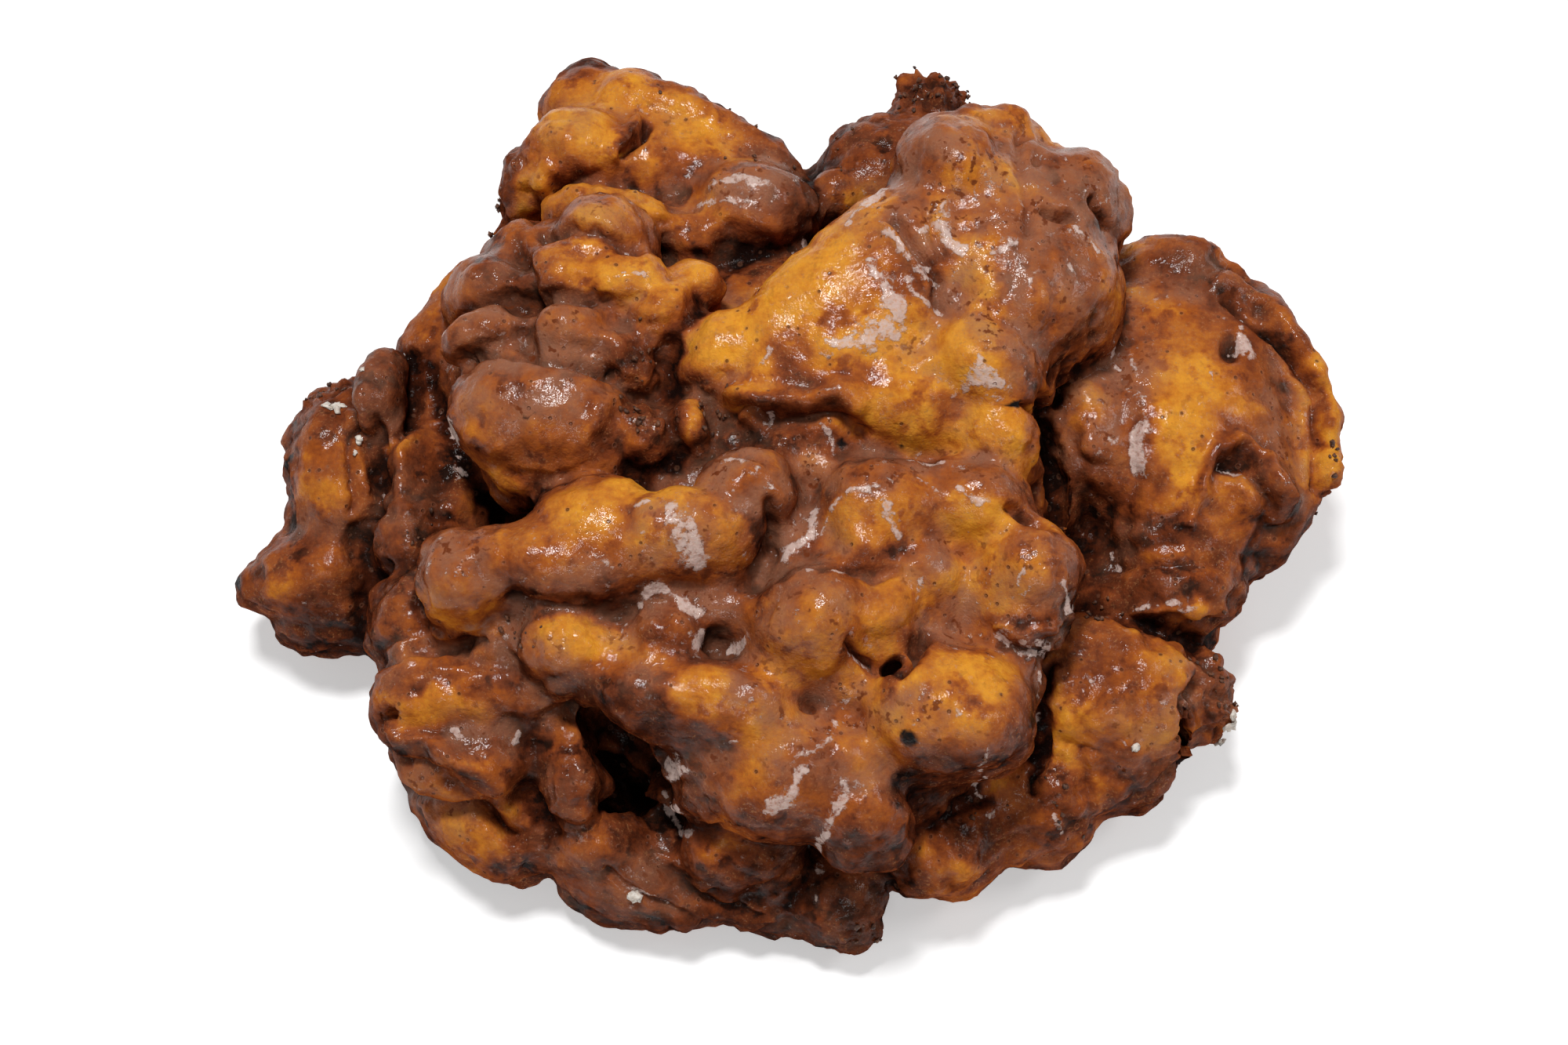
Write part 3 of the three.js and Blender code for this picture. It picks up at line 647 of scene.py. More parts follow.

# Streaks and blots of dried white glaze, many of them painted highlights where the lamps would shine on the
# wet glaze.
FILM_AND_HIGHLIGHTS = strokes(
    (1.2, 1, (7, 9.3), (14, 9.4)), (2.7, 1, (13, 10.5), (16.5, 13), (18, 16)),
    (1.0, 1, (16.5, 17), (15.5, 20), (14, 22.5)), (2.2, 1, (31, 4), (34, 2.5)),
    (0.7, 0.9, (32, 8), (31.5, 6)), (1.1, 0.9, (17, 39), (14, 35), (12, 31)),
    (0.8, 1, (17.5, 28), (20, 24.5), (23, 23)), (0.6, 0.9, (21, 24), (24, 21), (26, 20.5)),
    (0.8, 1, (20.5, 20.5), (22, 17.5), (25.5, 15.5)), (1.6, 1, (26.5, 31.5), (27, 28.5), (28.5, 26)),
    (0.9, 0.9, (23, 29), (24, 30)), (1.7, 1, (35.5, 26), (38.5, 27.5)),
    (0.6, 0.8, (25.5, 33.5), (27, 34.5)), (0.6, 0.9, (47, 30), (51, 29), (54, 27)),
    (0.6, 0.7, (47.5, 24), (48.5, 21)), (0.5, 0.7, (41, 20), (41, 16)), (0.5, 0.7, (-6, 19), (-1, 20)),
    (0.5, 0.7, (-7, 4.5), (-2, 8)), (0.6, 0.8, (5, 1.8), (10, 1.6)), (0.8, 0.9, (6.8, -2), (7.5, -6)),
    (0.5, 0.8, (-4, -2), (-1, -1)), (0.8, 0.8, (2, 39), (4.5, 41.5)),
    (0.7, 0.8, (21, -9), (25, -9), (29, -10)), (0.9, 0.8, (-28, 21.5), (-24, 21.5)),
    (0.8, 0.8, (-58, 17), (-57.5, 14)), (0.5, 0.8, (-58.5, 9), (-58, 3)),
    (1.1, 0.9, (-57, 0), (-56.5, -3.5)), (1.1, 1, (-12, 48.5), (-7, 49), (-3, 47.5)),
    (0.9, 1, (-15, 45), (-9, 45)), (1.5, 1, (-17, -21), (-16, -25), (-14, -28)),
    (0.7, 0.9, (-24, -19.5), (-21.5, -19.5)), (0.7, 0.9, (-9.5, -11.5), (-6.5, -12.5)),
    (0.9, 1, (-24, -33), (-20, -31.5), (-14, -35)), (1.0, 0.9, (-14, -38), (-13.5, -39)),
    (1.0, 0.9, (-9, -39.5), (-6.5, -38.5)), (1.0, 1, (4.5, -17), (3.5, -21), (0.5, -26)),
    (0.8, 0.6, (-41, -31), (-42, -34)), (0.5, 0.8, (-30, -34.7), (-27, -35.3)),
    (0.5, 0.7, (-31, -28.5), (-28, -29)), (1.0, 1, (15.5, -17), (16.5, -20), (17.5, -22.5)),
    (0.9, 1, (28.5, -16), (32, -18)), (0.6, 0.9, (15, -14), (10, -16), (6, -21)),
    (0.6, 0.8, (22, -14.5), (25, -15.5)), (0.8, 0.8, (3.5, -29.5), (4.5, -30)),
    (0.6, 0.7, (8, -30), (10, -30)), (0.6, 0.7, (33, -29), (33.5, -27)),
    (0.8, 0.8, (38.5, -30), (39, -28.5)), (0.6, 0.9, (46.5, -30), (47, -34)),
    (0.9, 1, (35, -38.5), (39, -40), (44, -39)), (0.7, 0.9, (41.5, -43), (42.5, -46)),
    (0.7, 0.8, (11, -42), (13.5, -44.5)), (0.5, 0.7, (27.5, -41), (29, -40.5)),
    (0.9, 0.8, (8, -52), (6, -56), (2, -58.5)), (1.0, 1, (3.5, -60), (1, -64), (-2, -65)),
    (1.2, 1, (9, -63), (7.5, -67), (6, -69.5)), (0.7, 0.8, (8.5, -62), (13, -61.5)),
    (0.5, 0.9, (-11, -56.5), (-7.5, -56.5)), (1.2, 1, (-18.5, -56.5), (-17, -57.5)),
    (0.6, 1, (-21, -58), (-19, -61.5), (-16, -65)), (0.6, 0.8, (27, -52), (27.5, -53)),
    (0.7, 0.8, (32, -57), (33, -59)), (0.8, 0.9, (33, -62.5), (34.5, -62)),
    (0.7, 0.8, (57.5, 17), (58, 13)), (0.6, 0.8, (61, 18), (61, 13)), (0.7, 0.9, (59, 9.5), (63, 8.5)),
    (1.2, 1, (62, 5), (61.5, 0), (60.5, -4.5)), (0.6, 0.8, (55.5, 0.5), (58, 0)),
    (0.6, 0.7, (74.5, 13), (75, 12)), (1.4, 1, (80.5, 23), (81, 18.5)), (0.7, 0.7, (76, -3), (80, -6)),
    (0.5, 0.8, (60, -27.3), (66, -27), (72, -27.8)), (0.6, 0.7, (57, -15), (59, -18)),
    (0.5, 0.7, (-57, -47), (-55, -46.5)), (0.7, 0.9, (-55, -51), (-53, -52)),
    (0.6, 0.7, (-45, -52), (-44, -50)), (0.5, 0.8, (-26, -72), (-20, -74)),
    (0.5, 0.7, (5, -74), (6, -72)), (0.5, 0.8, (51, -39), (52, -41)), (0.5, 0.7, (46, -62), (47.5, -65)),
    (0.6, 0.5, (-71, -4), (-70, -8)),
)

# Folds that stand up from the skin, heights in millimetres.
FOLDS = strokes(
    (2.0, 1.9, (78, 34), (84, 31), (90, 25.5), (94, 18), (96, 8), (95.5, -2)),
    (1.2, 1.4, (70, -13), (72.5, -8), (74.5, 0), (78, 1.5), (83.5, -2), (87, -8)),
    (1.3, 0.7, (58, -12), (64, -15), (72, -14)), (0.9, 1, (60, -27), (68, -27), (76, -28)),
    (1.3, 1.3, (-27, 63), (-27.5, 59), (-31, 55)),
    (1.4, 0.9, (-52, -5), (-46, -8), (-38, -8), (-31, -4), (-28, 1)),
    (1.2, 1.5, (-9, 3.5), (-4, 0), (2, 0.5), (9, 2), (13, 0)), (0.8, 0.7, (17.5, 29), (21, 24), (26, 17)),
    (1.6, 0.4, (-30, -31), (-18, -29), (-6, -29)), (1.2, 0.9, (-72, 9), (-74, 2), (-73, -6)),
    (1.3, 0.9, (-66, 4), (-67, -6), (-65, -14)), (1.2, 0.8, (-66, -36), (-58, -34), (-50, -35)),
    (1.3, 1.5, (-67, -50), (-60, -52), (-53, -56), (-46, -60)),
    (0.8, 0.8, (35, -37), (39, -38.6), (44, -37.5)),
)

# Grooves and creases pressed into the skin, depths in millimetres.
GROOVES = strokes(
    (0.9, -1.6, (79, 30), (83, 25), (88, 21.5), (91.5, 17), (94, 11), (94.5, 4), (93, -4)),
    (1.8, -2.2, (76.5, -3), (79, -3.5), (82, -6), (83, -11)),
    (1.3, -1.0, (58, -18), (66, -20.5), (75, -19)), (0.8, -2.4, (-25, 62), (-25, 59), (-29, 55)),
    (1.1, -1.6, (-8, -0.5), (-3, -3), (3, -2.5), (9, -1), (13, -3.5)),
    (1.0, -2.4, (44, 32.8), (48, 32.3)), (0.9, -2.0, (53.5, 37), (55.5, 34)),
    (1.0, -1.4, (19, 30), (23, 24), (26.5, 20), (26, 15.5)),
    (1.0, -0.9, (41, 50), (40, 44), (41, 36), (41, 29)), (0.9, -0.7, (-44, -32), (-30, -35), (-24, -33)),
    (0.9, -1.2, (10, -28.5), (15, -29.8), (19, -28.5)),
    (0.7, -1.0, (35, -39.5), (39, -40.5), (44, -39.5)), (1.2, -2.4, (23, -40), (19, -45)),
    (1.2, -1.8, (36, -18.5), (42, -20.5)), (1.2, -1.4, (-2, -19), (-2, -24)),
    (0.9, -1.4, (11, -41.5), (14, -44)), (1.0, -1.6, (-68, -49), (-66, -52)),
    (1.5, -2.4, (-68, -54), (-60, -56.5), (-53, -60.5), (-46, -64)),
    (0.9, -1.1, (-68, -39), (-60, -37), (-50, -38)),
    (1.1, -1.6, (68, -36), (71, -39), (68, -44), (67, -49)),
    (0.8, -1.0, (-22, -69), (-14, -74), (-4, -77)), (0.7, -0.7, (-30, -70), (-22, -74), (-12, -79)),
    (1.1, -0.5, (61, 4), (60, -8), (61, -16)), (1.0, -1.4, (-70, 4), (-71, -2), (-70, -12)),
    (1.0, -1.8, (-74, 4), (-76, 10), (-75.5, 17), (-72, 21)),
    (1.0, -1.8, (-67, 3), (-64.5, 9), (-65, 16), (-68, 21)), (0.9, -0.9, (-75, 4), (-75, -10)),
    (0.8, -0.7, (-33, 20), (-28, 17), (-24, 18)),
    (1.1, -1.9, (-57, 9), (-50, 9.5), (-44, 8), (-36, 7), (-28, 6)),
    (1.5, -1.5, (-41.5, 18), (-43.5, 14), (-42.5, 9)),
    (1.1, -1.6, (-56, 19), (-47, 21), (-41, 18.5), (-31, 18)),
    (1.7, -1.4, (-46, 32), (-44.5, 27), (-43, 23), (-43.5, 19)),
    (1.2, -1.5, (-41, 33), (-34, 30), (-25, 29.5)), (1.1, -1.6, (44, -41), (44, -52), (42, -58)),
    (0.9, -0.6, (50, -52), (52, -60)),
)

# Torn and crumbly ends.
CRUMBLY = patches(
    (28, 77, 8, 6), (36, 73, 6, 5, 0.5), (76, -41, 4.0, 9, 0.8), (-46, 54, 3, 4, 0.7),
    (-80, 15, 7, 3, 0.6, 25), (15, -80, 9, 3, 0.5), (95, -3, 2, 5, 0.6), (-24, 7, 5, 3, 0.6),
    (-14, 2, 3, 3, 0.3), (-22, -1, 3, 3, 0.5), (80, 38, 4, 3, 0.4), (74, -32, 5, 2, 0.6),
    (-37, -60, 4, 6, 0.4), (47, -40, 3, 6, 0.4),
)

# Broad smooth stretches, where the dough was stretched tight.
CALM = patches(
    (72, 14, 18, 27, 1, 4), (66, -14, 15, 12, 0.8), (90, 8, 7, 22, 0.8), (10, 18, 26, 18, 1, 30),
    (24, 4, 18, 11), (40, 34, 20, 20, 0.9), (-30, 64, 18, 12, 1, -25), (-8, 54, 14, 9, 1, -15),
    (-41, 0, 15, 9), (-40, 26, 18, 16, 0.7), (-30, -24, 32, 12, 0.9), (18, -25, 32, 18, 0.85),
    (0, -48, 30, 12, 0.85), (28, -48, 15, 12, 0.9), (4, -62, 16, 10, 0.9), (-62, 30, 9, 16, 0.9, 20),
    (-70, 11, 6, 9), (-80, -4, 9, 14, 0.7), (-88, -19, 9, 6, 0.7), (18, 58, 13, 11, 0.8),
    (-54, -54, 16, 12, 0.8), (58, -42, 9, 7, 0.3), (-28, -72, 12, 7, 0.6),
)


# ---------------------------------------------------------------- helpers on points and meshes

@dataclass
class Grain:
    """Smooth random values in space, from one seeded block of random numbers that repeats."""

    seed: int
    cells: int = 32
    layer_gap: float = 17.3
    block: np.ndarray = field(init=False)

    def __post_init__(self) -> None:
        """Draw the block of random numbers, -1 to 1."""
        draws = np.random.default_rng(self.seed)
        self.block = draws.uniform(-1, 1, (self.cells,) * 3)

    def at(self, points: np.ndarray, wave: float) -> np.ndarray:
        """Blend the eight nearest random numbers with a smooth fade along each axis.

        Args:
            points: Places, one row each.
            wave: Distance between two random numbers, in the places' unit.

        Returns:
            Value at each place, -1 to 1.
        """
        scaled = points / wave
        corner = np.floor(scaled).astype(int)
        share = scaled - corner
        share = share * share * (3 - 2 * share)
        total = np.zeros(len(points))
        for ends in np.ndindex(2, 2, 2):
            cell = (corner + ends) % self.cells
            part = np.where(np.array(ends) == 1, share, 1 - share).prod(1)
            total += part * self.block[cell[:, 0], cell[:, 1], cell[:, 2]]
        return total

    def layers(self, points: np.ndarray, wave: float, count: int) -> np.ndarray:
        """Sum of values at ever shorter waves, each half as long and half as strong.

        Args:
            points: Places, one row each.
            wave: Longest distance between two random numbers.
            count: Number of layers.

        Returns:
            Value at each place, about -1 to 1.
        """
        total = np.zeros(len(points))
        for layer in range(count):
            moved = points + self.layer_gap * layer
            total += 0.5 ** layer * self.at(moved, wave * 0.5 ** layer)
        return total


def uneven(points: np.ndarray) -> np.ndarray:
    """Shift points by slow sine waves, so that no lump stays a perfect ball.

    Each axis moves by one wave of the other two and by a weaker, shorter wave of all three. Their
    factors are odd ones, so that the waves hardly ever fall together.

    Args:
        points: Places in millimetres, the last axis holding x, y and z.

    Returns:
        Shifted places.
    """
    wave_length, wave_depth, weaker = 13.0, 1.1, 0.6
    x, y, z = np.moveaxis(points / wave_length, -1, 0)
    shift = np.stack([
        np.sin(1.3 * y + 0.7 * z + 0.4) + weaker * np.sin(2.3 * z - 1.1 * y + 1.7 * x + 2.1),
        np.sin(1.1 * z + 0.9 * x + 1.9) + weaker * np.sin(2.1 * x - 1.3 * z + 1.6 * y + 0.3),
        np.sin(1.2 * x + 0.8 * y + 3.1) + weaker * np.sin(2.2 * y - 1.2 * x + 1.8 * z + 1.2),
    ], -1)
    return points + wave_depth * shift


def ball_faces(rows: int, columns: int, first: int = 0) -> list[list[int]]:
    """Faces of a closed grid: quads between rings, and a fan of triangles at each pole.

    Args:
        rows: Number of rows with both poles.
        columns: Number of points around.
        first: Number of the grid's first point in its mesh.

    Returns:
        Lists of point numbers; the poles are the last two points.
    """
    rings = rows - 2
    ring = first + np.arange(rings - 1)[:, None] * columns
    here = np.arange(columns)
    after = np.roll(here, -1)
    quads = np.stack([ring + here, ring + columns + here, ring + columns + after, ring + after], -1)
    pole = np.full(columns, first + rings * columns)
    last_ring = first + (rings - 1) * columns
    head = np.stack([pole, first + here, first + after], -1)
    tail = np.stack([pole + 1, last_ring + after, last_ring + here], -1)
    return quads.reshape(-1, 4).tolist() + head.tolist() + tail.tolist()


def ball_points(grid: np.ndarray) -> np.ndarray:
    """Points of a closed grid, with each pole's row brought down to one point at the end."""
    poles = np.stack([grid[0].mean(0), grid[-1].mean(0)])
    return np.concatenate([grid[1:-1].reshape(-1, 3), poles])


def make_mesh(name: str, points: np.ndarray, faces: list[list[int]]) -> bpy.types.Mesh:
    """Put points and faces into a new smooth-shaded mesh.

    Args:
        name: Name of the mesh.
        points: Places in millimetres.
        faces: Lists of point numbers.

    Returns:
        The new mesh.
    """
    mesh = bpy.data.meshes.new(name)
    mesh.from_pydata((points * MM).tolist(), [], faces)
    mesh.polygons.foreach_set("use_smooth", np.ones(len(mesh.polygons), bool))
    mesh.update()
    return mesh


def make_piece(name: str, points: np.ndarray, faces: list[list[int]]) -> bpy.types.Object:
    """Put points and faces into a new object at the origin.

    Args:
        name: Name of the object and its mesh.
        points: Places in millimetres.
        faces: Lists of point numbers.

    Returns:
        The new object.
    """
    piece = bpy.data.objects.new(name, make_mesh(name, points, faces))
    bpy.context.scene.collection.objects.link(piece)
    return piece


def lump_piece(name: str, lumps: tuple[Lump, ...], step: float) -> bpy.types.Object:
    """Put the skins of many lumps into one object.

    Args:
        name: Name of the object.
        lumps: The lumps.
        step: Distance between grid points, in millimetres.

    Returns:
        Object whose mesh is all the closed skins, still crossing each other.
    """
    points: list[np.ndarray] = []
    faces: list[list[int]] = []
    count = 0
    for lump in lumps:
        grid = uneven(lump.surface(step))
        faces += ball_faces(*grid.shape[:2], count)
        points.append(ball_points(grid))
        count += len(points[-1])
    return make_piece(name, np.concatenate(points), faces)


def settle(piece: bpy.types.Object) -> None:
    """Replace a piece's mesh by the result of its modifiers.

    Args:
        piece: The object.
    """
    graph = bpy.context.evaluated_depsgraph_get()
    graph.update()
    mesh = bpy.data.meshes.new_from_object(piece.evaluated_get(graph))
    piece.modifiers.clear()
    piece.data = mesh
    mesh.name = piece.name


def fuse(piece: bpy.types.Object, voxel: float) -> None:
    """Melt crossing skins into one closed skin.

    Args:
        piece: The object.
        voxel: Size of the smallest detail that is kept, in millimetres.
    """
    melt = piece.modifiers.new("fuse", "REMESH")
    melt.mode = "VOXEL"
    melt.voxel_size = voxel * MM
    melt.use_smooth_shade = True
    settle(piece)


def carve(piece: bpy.types.Object, tool: bpy.types.Object) -> None:
    """Cut one closed piece away from another and remove the tool.

    Args:
        piece: The object that is cut.
        tool: The object that is taken away.
    """
    cut = piece.modifiers.new("carve", "BOOLEAN")
    cut.operation = "DIFFERENCE"
    cut.solver = "MANIFOLD"
    cut.object = tool
    settle(piece)
    bpy.data.objects.remove(tool)


class Skin:
    """The points, edges and outward directions of a piece's mesh, as arrays in millimetres."""

    def __init__(self, piece: bpy.types.Object) -> None:
        """Read the mesh.

        Args:
            piece: Object whose mesh is read.
        """
        mesh = piece.data
        self.mesh = mesh
        self.count = len(mesh.vertices)
        flat = np.empty(self.count * 3, np.float32)
        mesh.vertices.foreach_get("co", flat)
        self.points = flat.reshape(-1, 3).astype(float) / MM
        ends = np.empty(len(mesh.edges) * 2, np.int32)
        mesh.edges.foreach_get("vertices", ends)
        self.one, self.other = ends.reshape(-1, 2).T
        self.reach = np.bincount(ends, minlength=self.count)
        self.read_normals()

    def read_normals(self) -> None:
        """Read the outward direction at each point."""
        flat = np.empty(self.count * 3, np.float32)
        self.mesh.vertex_normals.foreach_get("vector", flat)
        self.normals = flat.reshape(-1, 3).astype(float)

    def write(self) -> None:
        """Put the points back into the mesh."""
        self.mesh.vertices.foreach_set("co", (self.points * MM).astype(np.float32).ravel())
        self.mesh.update()
        self.read_normals()

    def mean(self, values: np.ndarray) -> np.ndarray:
        """Mean over each point's neighbours, for each column of values.

        Args:
            values: One row for each point.

        Returns:
            Means, one row for each point.
        """
        out = np.empty_like(values)
        for column in range(values.shape[1]):
            kept = values[:, column]
            total = np.bincount(self.one, kept[self.other], self.count)
            total += np.bincount(self.other, kept[self.one], self.count)
            out[:, column] = total / self.reach
        return out

    def blurred(self, values: np.ndarray, rounds: int, share: float = 0.6) -> np.ndarray:
        """Move each row a share of the way to its neighbours' mean, many times.

        Args:
            values: One row for each point.
            rounds: Number of times.
            share: How far each time.

        Returns:
            Blurred rows.
        """
        for _ in range(rounds):
            values = values + share * (self.mean(values) - values)
        return values

    def hollow(self, rounds: int) -> np.ndarray:
        """How far each point lies under the skin blurred for so many rounds: above 0 in a crease."""
        return ((self.blurred(self.points, rounds) - self.points) * self.normals).sum(1)

    def faces(self) -> np.ndarray:
        """Point numbers of each face of a mesh that is all quads.

        Returns:
            Four numbers for each face.
        """
        corners = np.empty(len(self.mesh.loops), np.int32)
        self.mesh.loops.foreach_get("vertex_index", corners)
        return corners.reshape(-1, 4)

    def soften(self, rounds: int) -> None:
        """Blur the skin, then swell it by as much as its knobs shrank.

        Args:
            rounds: Rounds of blurring.
        """
        soft = self.blurred(self.points, rounds)
        shrunk = ((self.points - soft) * self.normals).sum(1)
        self.points = soft + self.normals * max(float(np.median(shrunk)), 0.0)
        self.write()

    def paint(self, name: str, values: np.ndarray) -> None:
        """Store one number at each point under a name that materials can read."""
        layer = self.mesh.attributes.new(name, "FLOAT", "POINT")
        layer.data.foreach_set("value", values.astype(np.float32))


def keep_largest(piece: bpy.types.Object) -> None:
    """Delete every shell of a mesh of quads but the one with the most points.

    Each point takes the lowest label of its neighbours until nothing changes, so that a shell ends
    with one label.

    Args:
        piece: The object.
    """
    skin = Skin(piece)
    label = np.arange(skin.count)
    while True:
        low = np.minimum(label[skin.one], label[skin.other])
        lower = label.copy()
        np.minimum.at(lower, skin.one, low)
        np.minimum.at(lower, skin.other, low)
        np.minimum.at(lower, label[skin.one], low)
        np.minimum.at(lower, label[skin.other], low)
        lower = lower[lower]
        if np.array_equal(lower, label):
            break
        label = lower
    kept = label == np.bincount(label).argmax()
    if kept.all():
        return
    number = np.cumsum(kept) - 1
    faces = skin.faces()
    faces = number[faces[kept[faces[:, 0]]]]
    piece.data = make_mesh(piece.name, skin.points[kept], faces.tolist())


# ---------------------------------------------------------------- finishes

class Sum(Enum):
    """Steps of arithmetic between two numbers of a material."""

    ADD = "ADD"
    SUBTRACT = "SUBTRACT"
    MULTIPLY = "MULTIPLY"
    MAXIMUM = "MAXIMUM"


Socket = bpy.types.NodeSocket
Source = Socket | float | Rgba


@dataclass(frozen=True)
class Blots:
    """Soft random blots: size in millimetres, finer layers, their strength, and where blots show."""

    size: float
    layers: float = 3.0
    rough: float = 0.6
    fade: Span = (0.0, 1.0)
    strength: float = 1.0


class Bench:
    """Lays out the nodes of one material and joins their sockets."""

    def __init__(self, name: str) -> None:
        """Make an empty material with a shader and the object's own coordinates.

        Args:
            name: Name of the material.
        """
        self.material = bpy.data.materials.new(name)
        self.material.use_nodes = True
        self.tree = self.material.node_tree
        self.shader = self.tree.nodes["Principled BSDF"]
        self.place = self.node("ShaderNodeTexCoord").outputs["Object"]

    def node(self, kind: str, **settings: object) -> bpy.types.Node:
        """Add a node and set its options.

        Args:
            kind: Blender's name of the node.
            settings: Options by name.

        Returns:
            The new node.
        """
        made = self.tree.nodes.new(kind)
        for name, value in settings.items():
            setattr(made, name, value)
        return made

    def feed(self, socket: Socket, source: Source) -> None:
        """Join a socket to another, or set its value.

        Args:
            socket: Socket that takes the value.
            source: Socket, number or colour.
        """
        if isinstance(source, Socket):
            self.tree.links.new(source, socket)
        else:
            socket.default_value = source

    def dress(self, sources: dict[str, Source]) -> None:
        """Feed sockets of the shader by their names."""
        for name, source in sources.items():
            self.feed(self.shader.inputs[name], source)

    def stored(self, name: str) -> Socket:
        """Number stored at each point under a name."""
        return self.node("ShaderNodeAttribute", attribute_name=name).outputs["Fac"]

    def noise(self, blots: Blots) -> Socket:
        """Soft random pattern, a number from 0 to 1 that is mostly near a half.

        Args:
            blots: Size, layers and strength of the pattern.

        Returns:
            The number.
        """
        made = self.node("ShaderNodeTexNoise")
        self.feed(made.inputs["Vector"], self.place)
        made.inputs["Scale"].default_value = 1 / (blots.size * MM)
        made.inputs["Detail"].default_value = blots.layers
        made.inputs["Roughness"].default_value = blots.rough
        return made.outputs["Fac"]

    def blots(self, blots: Blots) -> Socket:
        """Soft random blots, 0 between them and their full strength inside."""
        return self.step(self.noise(blots), blots.fade, blots.strength)

    def cells(self, size: float) -> tuple[Socket, Socket]:
        """Random cells.

        Args:
            size: Distance between two cells' middles, in millimetres.

        Returns:
            Distance to the nearest middle in cells, and a random number for each cell.
        """
        made = self.node("ShaderNodeTexVoronoi")
        self.feed(made.inputs["Vector"], self.place)
        made.inputs["Scale"].default_value = 1 / (size * MM)
        split = self.node("ShaderNodeSeparateColor")
        self.feed(split.inputs[0], made.outputs["Color"])
        return made.outputs["Distance"], split.outputs[0]

    def reckon(self, way: Sum, first: Source, second: Source) -> Socket:
        """One step of arithmetic.

        Args:
            way: The step.
            first: First number.
            second: Second number.

        Returns:
            The result.
        """
        made = self.node("ShaderNodeMath", operation=way.value)
        self.feed(made.inputs[0], first)
        self.feed(made.inputs[1], second)
        return made.outputs[0]

    def chain(self, way: Sum, numbers: tuple[Source, ...]) -> Source:
        """Take numbers together from the first to the last by the same step of arithmetic.

        Args:
            way: The step.
            numbers: The numbers.

        Returns:
            The result.
        """
        total, *others = numbers
        for number in others:
            total = self.reckon(way, total, number)
        return total

    def plus(self, *numbers: Source) -> Source:
        """Numbers added up."""
        return self.chain(Sum.ADD, numbers)

    def times(self, *numbers: Source) -> Source:
        """Numbers multiplied."""
        return self.chain(Sum.MULTIPLY, numbers)

    def rest(self, number: Source) -> Socket:
        """What is left from a number up to 1."""
        return self.reckon(Sum.SUBTRACT, 1.0, number)

    def either_way(self, pattern: Source, reach: float) -> Socket:
        """Pattern from 0 to 1 moved to lie around 0 and multiplied by its reach."""
        return self.times(self.reckon(Sum.SUBTRACT, pattern, 0.5), reach)

    def step(self, value: Source, span: Span, top: float = 1.0) -> Socket:
        """Smooth step from 0 at the span's start to top at its end; the start may be the larger.

        Args:
            value: Number that is stepped.
            span: Where the step is 0 and where it is full.
            top: Height of the step.

        Returns:
            The step.
        """
        made = self.node("ShaderNodeMapRange", interpolation_type="SMOOTHSTEP")
        low, high = span
        rising = (low, high, 0.0, top)
        falling = (high, low, top, 0.0)
        for socket, source in zip(made.inputs, (value, *(rising if low < high else falling))):
            self.feed(socket, source)
        return made.outputs[0]

    def cover(self, below: Source, above: Source, share: Source) -> Socket:
        """Put a share of one colour over another.

        Args:
            below: Lower colour.
            above: Upper colour.
            share: How much of the upper one shows.

        Returns:
            The colour.
        """
        made = self.node("ShaderNodeMix", data_type="RGBA")
        for number, source in ((0, share), (6, below), (7, above)):
            self.feed(made.inputs[number], source)
        return made.outputs[2]

    def scale(self, place: Source, colours: tuple[Rgba, ...]) -> Socket:
        """Colour at a place on a scale from 0 to 1, with colours evenly spaced along it.

        Args:
            place: Place on the scale.
            colours: The colours.

        Returns:
            The colour.
        """
        made = self.node("ShaderNodeValToRGB")
        ramp = made.color_ramp
        while len(ramp.elements) < len(colours):
            ramp.elements.new(1.0)
        for element, position, colour in zip(ramp.elements, np.linspace(0, 1, len(colours)), colours):
            element.position = position
            element.color = colour
        self.feed(made.inputs[0], place)
        return made.outputs[0]

    def relief(self, *layers: tuple[Source, float]) -> Socket:
        """Fine relief for the shading alone, each layer on the one before it.

        Args:
            layers: Patterns from 0 to 1, each with the height of a full step in millimetres.

        Returns:
            Direction for the shader.
        """
        under = None
        for height, depth in layers:
            made = self.node("ShaderNodeBump")
            made.inputs["Distance"].default_value = depth * MM
            self.feed(made.inputs["Height"], height)
            if under is not None:
                self.feed(made.inputs["Normal"], under)
            under = made.outputs[0]
        return under


